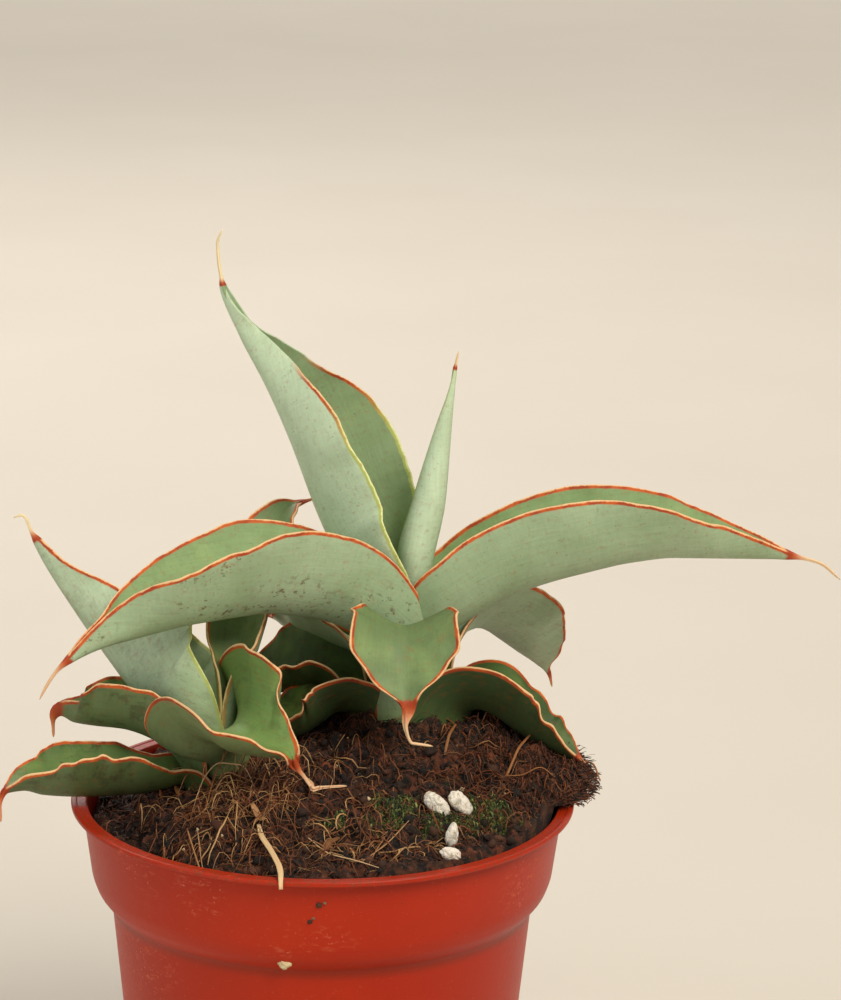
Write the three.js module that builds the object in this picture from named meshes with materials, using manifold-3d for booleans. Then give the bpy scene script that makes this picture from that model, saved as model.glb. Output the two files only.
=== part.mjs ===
// Potted swan dancer snake plant: a main rosette and a pup in a small round nursery pot.
// Millimetres, +Z up. The origin is the middle of the pot's underside.
// +X is to the right and +Y away from whoever faces the pot's front.
import * as THREE from 'three';
import { mergeVertices } from 'three/addons/utils/BufferGeometryUtils.js';
import Module from 'manifold-3d';

const wasm = await Module();
wasm.setup();

// Driving dimensions
const GAP = 0.3; // clearance kept between neighbouring solids
const POT_HEIGHT = 78;
const LIP_RADIUS = 45;
const LIP_THICKNESS = 0.9;
const BAND_RADIUS = 42.9; // collar band below the lip
const BAND_HEIGHT = 13.6;
const WAIST_RADIUS = 37.8; // body just below the band
const WAIST_DEPTH = 19.5;
const BASE_RADIUS = 32;
const BASE_CHAMFER = 0.8;
const BAND_TAPER = 1.6; // how much narrower the band is at its foot
const LIP_FLARE = { out: 0.3, drop: 4 }; // the band's last widening below the lip
const WALL = 0.9;
const FLOOR = 1.2;
const DRAIN_HOLES = 6;
const DRAIN_RADIUS = 3.2;
const DRAIN_CIRCLE = 21;
const POT_SIDES = 44;
// The shoulder between body and band, as [out from the waist's radius, up from its height]
const SHOULDER_OUTSIDE = [[-0.1, -0.6], [0.3, 0.9], [1.3, 1.9], [2.6, 3.5]];
const SHOULDER_INSIDE = [[2.6, 4.1], [1.3, 2.7], [0, 1], [-0.2, -0.8]];

const EDGE_SKIN = 0.75; // leaf thickness at its margin
const LEAF_STATIONS = 20;
const LEAF_COLUMNS = 6;
const KEEL_SHARPNESS = 3;
const EDGE_THINNING = 2.5; // higher keeps the blade thick nearer to its margin
// The margins' ripple: where it grows and dies away along the leaf, how it gathers at the
// margin, how far the two margins are out of step, and its faster overtone
const RIPPLE = {
  start: 0.24, rise: 0.2, end: 0.97, fall: 0.14, gather: 3,
  sideBeat: 0.07, sidePhase: 1.9, overtone: 0.45, overtoneBeat: 1.7,
};

// Crowns: where the leaves of a rosette start, on top of the rhizome
const CROWNS = {
  main: { x: 15, y: 15, foot: 82, holeRadius: 12.2 },
  pup: { x: -18, y: 2, foot: 76, holeRadius: 8.6 },
};

// Each leaf, from the innermost to the outermost of its rosette.
// azimuth: degrees, the way the leaf points (0 right, 90 away, 270 to the front)
// path: the keel as [reach from the crown's axis, height, swerve to the left]
// The rest are [share of the length, value]: width is the flat width of the blade,
// fold the angle at which its margins stand up, keel how sharply that fold sits at the
// middle, twist the roll about the keel, skin the thickness over the keel.
const LEAVES = {
  mainCentre: {
    crown: 'main', azimuth: 0, sheath: 0.3,
    path: [[1.9, 0, 0], [1.9, 18, 0], [2.9, 28, 0], [4.2, 36, 0], [6.2, 47, 0], [6.9, 58, 0],
      [7.4, 66, 0], [7.9, 71.5, 0], [8.4, 74.5, 0]],
    width: [[0, 10.5], [0.3, 12], [0.5, 20], [0.62, 17.5], [0.78, 10], [0.9, 3], [0.95, 1.6], [1, 1]],
    fold: [[0.5, 168], [0.78, 160], [0.9, 110], [1, 80]],
    keel: [[0, 0], [1, 0]],
    twist: [[0, 0], [1, 0]],
    skin: [[0, 0.9], [0.5, 1.4], [0.8, 1.0], [1, 0.8]],
    wave: 0, waves: 5, phase: 0,
  },
  mainTall: {
    crown: 'main', azimuth: 158, sheath: 0.17,
    path: [[3.5, 0, 0], [3.5, 17, 0], [6.5, 25, 0], [16, 39, 0], [24.3, 57.5, 0], [28.8, 65.5, 0],
      [34.2, 74.2, 0], [38.2, 83, 0], [39, 90.6, 0], [37.9, 93.4, 0]],
    width: [[0, 18], [0.17, 19], [0.36, 36], [0.48, 39.5], [0.6, 35.5], [0.69, 22], [0.79, 10.5],
      [0.85, 5], [0.89, 2.6], [0.93, 1.6], [1, 1]],
    fold: [[0.35, 88], [0.48, 88], [0.6, 82], [0.69, 98], [0.79, 110], [0.9, 90], [1, 80]],
    keel: [[0, 0], [0.2, 0.1], [0.4, 0.7], [1, 0.7]],
    twist: [[0, 0], [1, 0]],
    skin: [[0, 1.05], [0.2, 1.3], [0.45, 3], [0.8, 2], [0.9, 1.2], [1, 0.8]],
    wave: 0.5, waves: 6, phase: 0.4,
  },
  mainRight: {
    crown: 'main', azimuth: 0, sheath: 0.17,
    path: [[5, 0, 0], [5, 15, 0], [6, 20, 0], [8.5, 23, 0], [12.8, 26, 0], [18.5, 29.3, 0],
      [24, 31.6, 0], [32, 34, 0], [40, 36, 0], [48, 37, 0], [58, 37, 0], [65, 37, 0],
      [69.5, 36.8, 0], [73.5, 36, 0], [77.5, 33, 0]],
    width: [[0, 20], [0.17, 22], [0.28, 32], [0.5, 37], [0.62, 32], [0.75, 20], [0.84, 10],
      [0.89, 4], [0.93, 1.8], [1, 1]],
    fold: [[0.3, 88], [0.5, 84], [0.62, 76], [0.74, 66], [0.82, 74], [0.9, 82], [1, 80]],
    keel: [[0, 0], [0.15, 0.1], [0.35, 0.7], [1, 0.7]],
    twist: [[0, 0], [0.4, 5], [1, 5]],
    skin: [[0, 1.05], [0.15, 1.3], [0.4, 3], [0.75, 2.4], [0.87, 1.4], [1, 0.8]],
    wave: 0.4, waves: 6, phase: 1.7,
  },
  mainLeft: {
    crown: 'main', azimuth: 206, sheath: 0.16,
    path: [[6.5, 0, 0], [6.5, 14, 0], [8, 20, 0], [14.4, 25.2, 0], [21.8, 27.6, 0], [30, 29, 0],
      [42, 28.6, 0], [52.6, 27.2, 0], [59, 26.2, 0], [63.6, 24.8, 0], [67, 23, 0], [69, 20.8, 0],
      [70.8, 18, 0]],
    width: [[0, 21], [0.16, 22.5], [0.24, 28], [0.32, 35.5], [0.4, 40], [0.48, 41], [0.55, 38],
      [0.65, 32], [0.75, 22], [0.82, 12.5], [0.87, 6.5], [0.91, 3], [0.95, 1.8], [1, 1]],
    fold: [[0.32, 88], [0.45, 80], [0.55, 72], [0.68, 66], [0.77, 84], [0.84, 102], [0.92, 95], [1, 80]],
    keel: [[0, 0], [0.15, 0.1], [0.35, 0.7], [1, 0.7]],
    twist: [[0, 0], [0.35, -8], [0.6, -8], [0.8, -14], [1, -14]],
    skin: [[0, 1.05], [0.15, 1.3], [0.4, 3], [0.75, 2.4], [0.87, 1.4], [1, 0.8]],
    wave: 0.4, waves: 6, phase: 0.2,
  },
  mainFront: {
    crown: 'main', azimuth: 270, sheath: 0.36,
    path: [[9.2, 0, 0], [9.2, 16, -0.3], [9.9, 21.8, -0.7], [12, 24.8, -0.8], [15.6, 24.4, -0.8],
      [20, 20.7, -0.6], [23.5, 17, -0.4], [25.2, 13, -0.2], [25.6, 9.6, 0.8], [25.9, 9, 4.5]],
    width: [[0, 12.5], [0.38, 13], [0.46, 17], [0.53, 22.5], [0.6, 24.5], [0.68, 19], [0.76, 9.5], [0.81, 3.4],
      [0.86, 1.6], [1, 1]],
    fold: [[0.46, 60], [0.6, 52], [0.75, 44], [0.85, 60], [1, 60]],
    keel: [[0, 0], [0.4, 0.1], [0.55, 0.5], [1, 0.5]],
    twist: [[0, 0], [1, 0]],
    skin: [[0, 1.05], [0.35, 1.3], [0.5, 2.2], [0.75, 1.5], [1, 0.8]],
    wave: 0.6, waves: 6, phase: 0.9,
  },
  mainBackLeftHigh: {
    crown: 'main', azimuth: 132, sheath: 0.25,
    path: [[8, 0, 0], [8, 11, 0], [9, 14.4, 0], [12, 15.4, 0], [18, 15.3, 0], [26, 15.2, 0],
      [33, 15.3, 0], [39, 15.8, 0], [42, 15.2, 0]],
    width: [[0, 12], [0.2, 13], [0.45, 27], [0.6, 26], [0.78, 16], [0.88, 6], [0.93, 2], [1, 1]],
    fold: [[0.4, 62], [0.6, 56], [0.8, 50], [1, 70]],
    keel: [[0, 0], [0.25, 0.1], [0.45, 0.7], [1, 0.7]],
    twist: [[0, 0], [1, 0]],
    skin: [[0, 1.05], [0.2, 1.3], [0.45, 2.6], [0.8, 1.6], [1, 0.8]],
    wave: 0.4, waves: 5, phase: 2.3,
  },
  mainBackRight: {
    crown: 'main', azimuth: 50, sheath: 0.22,
    path: [[8, 0, 0], [8, 14, 0], [9, 17.4, 0], [12, 19.2, 0], [16, 19.4, 0], [20, 18.6, 0],
      [24, 16.8, 0], [28, 14.2, 0], [33, 10.8, 0], [38, 7.4, 0], [41, 4.8, 0], [42.2, 1.8, 0]],
    width: [[0, 12], [0.22, 14], [0.45, 30], [0.6, 29], [0.78, 19], [0.88, 8], [0.93, 2], [1, 1]],
    fold: [[0.4, 62], [0.6, 56], [0.8, 50], [1, 70]],
    keel: [[0, 0], [0.22, 0.1], [0.45, 0.7], [1, 0.7]],
    twist: [[0, 0], [1, 0]],
    skin: [[0, 1.05], [0.2, 1.3], [0.45, 2.6], [0.8, 1.6], [1, 0.8]],
    wave: 0.4, waves: 5, phase: 1.1,
  },
  mainBackLeftLow: {
    crown: 'main', azimuth: 158, sheath: 0.18,
    path: [[9.5, 0, 0], [9.5, 5, 0], [10.5, 8.4, 0], [14, 9.8, 0], [20, 9, 0], [27, 8, 0],
      [32, 7.4, 0], [36, 6.4, 0]],
    width: [[0, 13], [0.18, 14], [0.4, 25], [0.65, 26], [0.82, 16], [0.91, 6], [0.96, 2], [1, 1]],
    fold: [[0.35, 72], [0.6, 66], [0.8, 56], [1, 70]],
    keel: [[0, 0], [0.22, 0.1], [0.45, 0.7], [1, 0.7]],
    twist: [[0, 0], [0.3, 8], [0.6, 18], [1, 18]],
    skin: [[0, 1.05], [0.2, 1.3], [0.45, 2.4], [0.8, 1.6], [1, 0.8]],
    wave: 0.4, waves: 5, phase: 0.6,
  },
  mainLowRight: {
    crown: 'main', azimuth: 345, sheath: 0.1,
    path: [[11, 0, 0], [11, 5, 0], [11.6, 8, 0], [13.4, 8.8, 0], [16.4, 7.8, 0], [20, 5.5, 0],
      [24, 3.3, 0], [29, 1.4, 0], [33.4, 0.2, 0]],
    width: [[0, 26], [0.12, 27], [0.35, 28], [0.55, 26.5], [0.75, 20], [0.87, 11], [0.94, 4], [1, 1]],
    fold: [[0.3, 64], [0.5, 52], [0.8, 44], [1, 60]],
    keel: [[0, 0], [0.15, 0.1], [0.45, 0.5], [1, 0.6]],
    twist: [[0, 0], [0.2, 8], [0.5, 18], [0.8, 14], [1, 6]],
    skin: [[0, 1.05], [0.2, 1.3], [0.45, 2.6], [0.8, 1.6], [1, 0.8]],
    wave: 0.35, waves: 5, phase: 0.3,
  },
  mainLowLeft: {
    crown: 'main', azimuth: 204, sheath: 0.12,
    path: [[11, 0, 0], [11, 6, 0], [11.8, 8.4, 0], [14, 8.6, 0], [17, 7, 0], [21, 5, 0],
      [25, 4.2, 0], [29, 4, 0]],
    width: [[0, 15], [0.12, 15], [0.3, 17.5], [0.48, 23], [0.62, 26], [0.76, 20], [0.87, 12], [0.94, 4], [1, 1]],
    fold: [[0.3, 64], [0.5, 56], [0.8, 46], [1, 60]],
    keel: [[0, 0], [0.15, 0.1], [0.45, 0.5], [1, 0.6]],
    twist: [[0, 0], [0.2, -10], [0.5, -18], [1, -16]],
    skin: [[0, 1.05], [0.2, 1.3], [0.45, 2.6], [0.8, 1.6], [1, 0.8]],
    wave: 0.5, waves: 5, phase: 2.1,
  },
  pupInner: {
    crown: 'pup', azimuth: 70, sheath: 0.25,
    path: [[2.2, 0, 0], [2.2, 10, 0], [3.8, 17, 0], [8.4, 25, 0], [13.6, 32, 0], [19, 39.4, 0],
      [24, 45, -0.6], [27.5, 47.8, -2.2], [32, 49, -5.6]],
    width: [[0, 11], [0.25, 12], [0.45, 18], [0.6, 18], [0.8, 12], [0.88, 7.5], [0.93, 2.4], [1, 1]],
    fold: [[0.45, 90], [0.6, 76], [0.8, 60], [1, 70]],
    keel: [[0, 0], [0.5, 0.3], [1, 0.5]],
    twist: [[0, 0], [1, 0]],
    skin: [[0, 0.95], [0.5, 1.8], [0.8, 1.4], [1, 0.8]],
    wave: 0.3, waves: 5, phase: 0,
  },
  pupTall: {
    crown: 'pup', azimuth: 158, sheath: 0.14,
    path: [[3.7, 0, 0], [3.7, 7, 0], [7, 11.4, 0], [13.8, 15, 0], [18.2, 18.2, 0], [22.6, 23, 0],
      [29.8, 31.8, 0], [36, 40.2, 0], [38.8, 45, 0], [40.4, 48, 0], [42, 47.4, 0]],
    width: [[0, 15], [0.12, 17], [0.3, 40], [0.42, 42.5], [0.5, 37.5], [0.6, 27], [0.68, 20], [0.76, 13],
      [0.84, 7], [0.9, 3.5], [0.94, 1.8], [1, 1]],
    fold: [[0.3, 82], [0.5, 76], [0.7, 68], [0.85, 60], [1, 70]],
    keel: [[0, 0], [0.2, 0.2], [0.45, 0.6], [1, 0.7]],
    twist: [[0, 0], [0.12, 0], [0.3, -26], [0.6, -38], [1, -38]],
    skin: [[0, 1.05], [0.2, 1.3], [0.45, 2.6], [0.8, 1.6], [1, 0.8]],
    wave: 0.4, waves: 5, phase: 1.5,
  },
  pupFront: {
    crown: 'pup', azimuth: 305, sheath: 0.18,
    path: [[5.2, 0, 0], [5.2, 8, 0], [6.6, 12.4, -1.6], [9.4, 15, -3], [13.4, 15.6, -3.6], [17.4, 15, -2.8],
      [20.4, 14.8, -1.4], [22, 14.6, -0.2], [23.1, 11.5, 1.5], [24.9, 8.6, 3.3], [26.9, 8.6, 8.7]],
    width: [[0, 18], [0.18, 22], [0.34, 36], [0.42, 36], [0.52, 31], [0.6, 22], [0.66, 13],
      [0.7, 6], [0.74, 2.4], [1, 1]],
    fold: [[0.3, 96], [0.44, 91], [0.55, 82], [0.65, 78], [1, 60]],
    keel: [[0, 0], [0.2, 0.1], [0.45, 0.4], [1, 0.5]],
    twist: [[0, 0], [0.15, 0], [0.35, -22], [1, -20]],
    skin: [[0, 1.05], [0.2, 1.3], [0.45, 2.4], [0.7, 1.6], [1, 0.8]],
    wave: 0.6, waves: 6, phase: 0.5,
  },
  pupBackLeft: {
    crown: 'pup', azimuth: 178, sheath: 0.1,
    path: [[6.6, 0, 0], [6.6, 3, 0], [8.4, 7.4, 0], [12.1, 10.8, 0], [18.3, 13, 0], [23, 13.4, 0],
      [27, 14, 0], [29, 15, 0], [30, 14, 0], [30.2, 11, 0]],
    width: [[0, 13], [0.1, 14], [0.35, 24], [0.6, 24], [0.74, 20.5], [0.82, 15], [0.88, 6.5], [0.92, 2.4], [1, 1]],
    fold: [[0.35, 70], [0.6, 70], [0.8, 64], [1, 70]],
    keel: [[0, 0], [0.2, 0.2], [0.45, 0.6], [1, 0.7]],
    twist: [[0, 0], [0.3, -12], [1, -12]],
    skin: [[0, 1.05], [0.2, 1.2], [0.45, 2.2], [0.8, 1.5], [1, 0.8]],
    wave: 0.4, waves: 5, phase: 1.9,
  },
  pupLowLeft: {
    crown: 'pup', azimuth: 200, sheath: 0.08,
    path: [[7, 0, 0], [7, 2.4, 0], [8.4, 4, 0], [11, 3.4, 0], [16.4, 2.9, 0], [25.8, 3.4, 0],
      [33.4, 4.5, 0], [37, 5.6, 0], [39.5, 5.4, 0], [40.5, 2.9, 0], [40.5, 0.1, 0]],
    width: [[0, 14], [0.1, 15], [0.35, 25], [0.6, 25], [0.75, 17], [0.83, 8], [0.88, 2.4], [1, 1]],
    fold: [[0.3, 66], [0.6, 62], [0.8, 54], [1, 70]],
    keel: [[0, 0], [0.2, 0.2], [0.45, 0.6], [1, 0.7]],
    twist: [[0, 0], [0.3, -8], [1, -8]],
    skin: [[0, 1.05], [0.2, 1.2], [0.45, 2.4], [0.8, 1.6], [1, 0.8]],
    wave: 0.32, waves: 5, phase: 0.8,
  },
};

const MATERIALS = {
  pot: { color: 0xc8371a, roughness: 0.42 },
  soil: { color: 0x3a261a, roughness: 0.95 },
  root: { color: 0xb08a5c, roughness: 0.85 },
  leaf: { color: 0x7fa06f, roughness: 0.55 },
  lowLeaf: { color: 0x4f8045, roughness: 0.5 },
  perlite: { color: 0xe6e2d8, roughness: 0.9 },
  straw: { color: 0xcdaa78, roughness: 0.8 },
};

const radians = (degrees) => (degrees * Math.PI) / 180;
const clamp01 = (value) => Math.min(1, Math.max(0, value));
const easeInOut = (value) => {
  const share = clamp01(value);
  return share * share * (3 - 2 * share);
};

// A smooth curve through knots [x, y] that never overshoots them (monotone cubic)
function smoothThrough(knots) {
  const last = knots.length - 1;
  const step = [];
  const slope = [];
  for (let i = 0; i < last; i += 1) {
    step.push(knots[i + 1][0] - knots[i][0]);
    slope.push((knots[i + 1][1] - knots[i][1]) / step[i]);
  }
  const tangent = [slope[0]];
  for (let i = 1; i < last; i += 1) {
    if (slope[i - 1] * slope[i] <= 0) {
      tangent.push(0);
    } else {
      const before = 2 * step[i] + step[i - 1];
      const after = step[i] + 2 * step[i - 1];
      tangent.push((before + after) / (before / slope[i - 1] + after / slope[i]));
    }
  }
  tangent.push(slope[last - 1]);
  return (x) => {
    let i = 0;
    while (i < last - 1 && x > knots[i + 1][0]) i += 1;
    const t = clamp01((x - knots[i][0]) / step[i]);
    const rise = knots[i + 1][1] - knots[i][1];
    const ends = tangent[i] * t * (1 - t) ** 2 - tangent[i + 1] * t * t * (1 - t);
    return knots[i][1] + rise * t * t * (3 - 2 * t) + ends * step[i];
  };
}

// The blade's cross-section: a flat strip bent up on both sides, from the keel outwards.
// Gives for each column its place and its inward normal as [sideways, towards the channel].
function bladeSection(width, fold, keel) {
  const half = [];
  const parts = 6;
  const columns = LEAF_COLUMNS / 2;
  const bend = (v) => Math.tanh(KEEL_SHARPNESS * v) / Math.tanh(KEEL_SHARPNESS);
  const turn = (v) => fold * ((1 - keel) * v + keel * bend(v));
  let side = 0;
  let up = 0;
  half.push([0, 0, 0, 1]);
  for (let i = 1; i <= columns; i += 1) {
    for (let k = 0; k < parts; k += 1) {
      const v = (i - 1 + (k + 0.5) / parts) / columns;
      side += (Math.cos(turn(v)) * width) / 2 / columns / parts;
      up += (Math.sin(turn(v)) * width) / 2 / columns / parts;
    }
    const here = turn(i / columns);
    half.push([side, up, -Math.sin(here), Math.cos(here)]);
  }
  const mirrored = half.slice(1).reverse().map(([a, b, c, d]) => [-a, b, -c, d]);
  return [...mirrored, ...half];
}

// The keel line and its frame at every station
function keelFrames(leaf) {
  const crown = CROWNS[leaf.crown];
  const turn = radians(leaf.azimuth);
  const outward = new THREE.Vector3(Math.cos(turn), Math.sin(turn), 0);
  const left = new THREE.Vector3(-Math.sin(turn), Math.cos(turn), 0);
  const lengths = [0];
  for (let i = 1; i < leaf.path.length; i += 1) {
    const [a, b] = [leaf.path[i - 1], leaf.path[i]];
    lengths.push(lengths[i - 1] + Math.hypot(b[0] - a[0], b[1] - a[1], b[2] - a[2]));
  }
  const curves = [0, 1, 2].map((axis) =>
    smoothThrough(leaf.path.map((point, i) => [lengths[i] / lengths.at(-1), point[axis]])));
  const pointAt = (share) => new THREE.Vector3(crown.x, crown.y, crown.foot)
    .addScaledVector(outward, curves[0](share))
    .addScaledVector(left, curves[2](share))
    .add(new THREE.Vector3(0, 0, curves[1](share)));
  const twist = smoothThrough(leaf.twist);
  const frames = [];
  for (let i = 0; i <= LEAF_STATIONS; i += 1) {
    const share = i / LEAF_STATIONS;
    const reach = 0.02;
    const along = pointAt(Math.min(1, share + reach)).sub(pointAt(Math.max(0, share - reach))).normalize();
    const inward = outward.clone().multiplyScalar(-along.z)
      .add(new THREE.Vector3(0, 0, along.dot(outward)));
    inward.addScaledVector(along, -inward.dot(along)).normalize();
    const across = new THREE.Vector3().crossVectors(inward, along);
    const roll = radians(twist(share));
    frames.push({
      share,
      keel: pointAt(share),
      along,
      inward: inward.clone().multiplyScalar(Math.cos(roll)).addScaledVector(across, Math.sin(roll)),
      across: across.clone().multiplyScalar(Math.cos(roll)).addScaledVector(inward, -Math.sin(roll)),
    });
  }
  return frames;
}

// One leaf as a closed solid; grow swells it on every side
function leafSolid(leaf, grow = 0) {
  const width = smoothThrough(leaf.width);
  const baseFold = (share) => (width(share) / 2 / leaf.path[0][0]) * (180 / Math.PI);
  const fold = smoothThrough([[0, baseFold(0)], [leaf.sheath, baseFold(leaf.sheath)], ...leaf.fold]);
  const keel = smoothThrough(leaf.keel);
  const skin = smoothThrough(leaf.skin);
  const outer = [];
  const inner = [];
  const frames = keelFrames(leaf);
  frames.forEach((frame, station) => {
    const { share } = frame;
    const flat = width(share);
    const section = bladeSection(flat + 2 * grow, radians(fold(share)), keel(share));
    const swing = leaf.wave * easeInOut((share - RIPPLE.start) / RIPPLE.rise)
      * easeInOut((RIPPLE.end - share) / RIPPLE.fall);
    const endShift = station === 0 ? -grow : (station === LEAF_STATIONS ? grow : 0);
    section.forEach(([side, up, normalSide, normalUp], column) => {
      const v = (2 * column) / LEAF_COLUMNS - 1;
      const hand = Math.sign(v);
      const beat = 2 * Math.PI * leaf.waves * share * (1 + RIPPLE.sideBeat * hand)
        + leaf.phase + RIPPLE.sidePhase * hand;
      const ripple = swing * Math.abs(v) ** RIPPLE.gather
        * (Math.sin(beat) + RIPPLE.overtone * Math.sin(RIPPLE.overtoneBeat * beat));
      const normal = frame.across.clone().multiplyScalar(normalSide)
        .addScaledVector(frame.inward, normalUp);
      const middle = EDGE_SKIN + (skin(share) - EDGE_SKIN) * (1 - Math.abs(v) ** EDGE_THINNING);
      const place = frame.keel.clone()
        .addScaledVector(frame.across, side)
        .addScaledVector(frame.inward, up)
        .addScaledVector(frame.along, endShift);
      outer.push(place.clone().addScaledVector(normal, ripple - grow));
      inner.push(place.clone().addScaledVector(normal, ripple + middle + grow));
    });
  });
  return solidFromSheets(outer, inner, frames.length, LEAF_COLUMNS + 1);
}

// A closed solid between two matching grids of points, split into like triangles
function solidFromSheets(outer, inner, rows, columns) {
  const points = [...outer, ...inner];
  const offset = outer.length;
  const triangles = [];
  const quad = (a, b, c, d) => triangles.push(a, b, c, a, c, d);
  for (let r = 0; r < rows - 1; r += 1) {
    for (let c = 0; c < columns - 1; c += 1) {
      const a = r * columns + c;
      quad(a, a + 1, a + columns + 1, a + columns);
      quad(offset + a + columns, offset + a + columns + 1, offset + a + 1, offset + a);
    }
    const near = r * columns;
    const far = near + columns - 1;
    quad(near, near + columns, offset + near + columns, offset + near);
    quad(far + columns, far, offset + far, offset + far + columns);
  }
  for (let c = 0; c < columns - 1; c += 1) {
    const end = (rows - 1) * columns + c;
    quad(c + 1, c, offset + c, offset + c + 1);
    quad(end, end + 1, offset + end + 1, offset + end);
  }
  return solidFromPoints(points, triangles);
}

function solidFromPoints(points, triangles) {
  const mesh = new wasm.Mesh({
    numProp: 3,
    vertProperties: new Float32Array(points.flatMap((p) => [p.x, p.y, p.z])),
    triVerts: new Uint32Array(triangles),
  });
  return new wasm.Manifold(mesh);
}

function solidFromGeometry(geometry) {
  const bare = geometry.clone();
  bare.deleteAttribute('normal');
  bare.deleteAttribute('uv');
  const merged = mergeVertices(bare, 1e-3);
  const mesh = new wasm.Mesh({
    numProp: 3,
    vertProperties: new Float32Array(merged.attributes.position.array),
    triVerts: new Uint32Array(merged.index.array),
  });
  return new wasm.Manifold(mesh);
}

function geometryFromSolid(solid) {
  const mesh = solid.getMesh();
  const geometry = new THREE.BufferGeometry();
  geometry.setAttribute('position', new THREE.BufferAttribute(new Float32Array(mesh.vertProperties), 3));
  geometry.setIndex(new THREE.BufferAttribute(new Uint32Array(mesh.triVerts), 1));
  geometry.computeVertexNormals();
  return geometry;
}

// The largest piece of a solid, once a cut has left loose scraps
function mainBody(solid) {
  const pieces = solid.decompose();
  return pieces.reduce((best, piece) => (piece.volume() > best.volume() ? piece : best));
}

const plant = new THREE.Group();

function addNode(name, solid, finish) {
  const { color, roughness } = MATERIALS[finish];
  const material = new THREE.MeshStandardMaterial({ color, roughness, metalness: 0 });
  const mesh = new THREE.Mesh(geometryFromSolid(solid), material);
  mesh.name = name;
  plant.add(mesh);
}

// Leaves, each cut clear of those inside it where they would meet
const LOW_LEAVES = [
  'mainLowRight', 'mainLowLeft', 'mainBackLeftLow', 'pupFront', 'pupBackLeft', 'pupLowLeft',
];
const swollen = new Map();
for (const [name, leaf] of Object.entries(LEAVES)) {
  let solid = leafSolid(leaf);
  for (const inside of swollen.values()) {
    if (solid.intersect(inside).volume() > 0) solid = solid.subtract(inside);
  }
  swollen.set(name, leafSolid(leaf, GAP));
  addNode(name, mainBody(solid), LOW_LEAVES.includes(name) ? 'lowLeaf' : 'leaf');
}

// Pot
function lathe(profile, sides = POT_SIDES) {
  const geometry = new THREE.LatheGeometry(profile.map(([r, z]) => new THREE.Vector2(r, z)), sides);
  geometry.rotateX(Math.PI / 2);
  return solidFromGeometry(geometry);
}

function uprightCylinder(x, y, radius, bottom, top, sides = 32) {
  const geometry = new THREE.CylinderGeometry(radius, radius, top - bottom, sides);
  geometry.rotateX(Math.PI / 2);
  geometry.translate(x, y, (bottom + top) / 2);
  return solidFromGeometry(geometry);
}

const waistTop = POT_HEIGHT - WAIST_DEPTH;
const bandFoot = POT_HEIGHT - BAND_HEIGHT;
const onWaist = ([out, up]) => [WAIST_RADIUS + out, waistTop + up];
const outerWall = [
  [BASE_RADIUS - BASE_CHAMFER, 0],
  [BASE_RADIUS, BASE_CHAMFER],
  ...SHOULDER_OUTSIDE.map(onWaist),
  [BAND_RADIUS - BAND_TAPER, bandFoot],
  [BAND_RADIUS - LIP_FLARE.out, POT_HEIGHT - LIP_FLARE.drop],
  [BAND_RADIUS, POT_HEIGHT - LIP_THICKNESS],
  [LIP_RADIUS, POT_HEIGHT - LIP_THICKNESS],
  [LIP_RADIUS, POT_HEIGHT],
];
const mouth = [
  [BAND_RADIUS - WALL + LIP_FLARE.out, POT_HEIGHT],
  [BAND_RADIUS - WALL, POT_HEIGHT - LIP_THICKNESS],
  [BAND_RADIUS - LIP_FLARE.out - WALL, POT_HEIGHT - LIP_FLARE.drop],
];
const innerWall = [
  [BAND_RADIUS - BAND_TAPER - WALL, bandFoot],
  ...SHOULDER_INSIDE.map(onWaist).map(([r, z]) => [r - WALL, z]),
  [BASE_RADIUS - WALL, FLOOR],
];
let pot = lathe([[0, 0], ...outerWall, ...mouth, ...innerWall, [0, FLOOR]]);
for (let i = 0; i < DRAIN_HOLES; i += 1) {
  const turn = (2 * Math.PI * (i + 0.5)) / DRAIN_HOLES;
  const place = [DRAIN_CIRCLE * Math.cos(turn), DRAIN_CIRCLE * Math.sin(turn)];
  pot = pot.subtract(uprightCylinder(...place, DRAIN_RADIUS, -1, FLOOR + 1, 16));
}
addNode('pot', pot, 'pot');

// Rhizome: a crown under each rosette, the creeping stem between them, and the roots
function taperedTube(points, radii, sides = 6) {
  const curve = new THREE.CatmullRomCurve3(points.map((p) => new THREE.Vector3(...p)));
  const steps = (points.length - 1) * 2;
  const radius = smoothThrough(radii.map((r, i) => [i / (radii.length - 1), r]));
  const frames = curve.computeFrenetFrames(steps, false);
  const ring = [];
  for (let i = 0; i <= steps; i += 1) {
    const middle = curve.getPoint(i / steps);
    for (let k = 0; k < sides; k += 1) {
      const turn = (2 * Math.PI * k) / sides;
      ring.push(middle.clone()
        .addScaledVector(frames.normals[i], radius(i / steps) * Math.cos(turn))
        .addScaledVector(frames.binormals[i], radius(i / steps) * Math.sin(turn)));
    }
  }
  const triangles = [];
  for (let i = 0; i < steps; i += 1) {
    for (let k = 0; k < sides; k += 1) {
      const [a, b] = [i * sides + k, i * sides + ((k + 1) % sides)];
      triangles.push(a, b, b + sides, a, b + sides, a + sides);
    }
  }
  for (let k = 1; k < sides - 1; k += 1) {
    triangles.push(0, k + 1, k);
    triangles.push(steps * sides, steps * sides + k, steps * sides + k + 1);
  }
  return solidFromPoints(ring, triangles);
}

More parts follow.
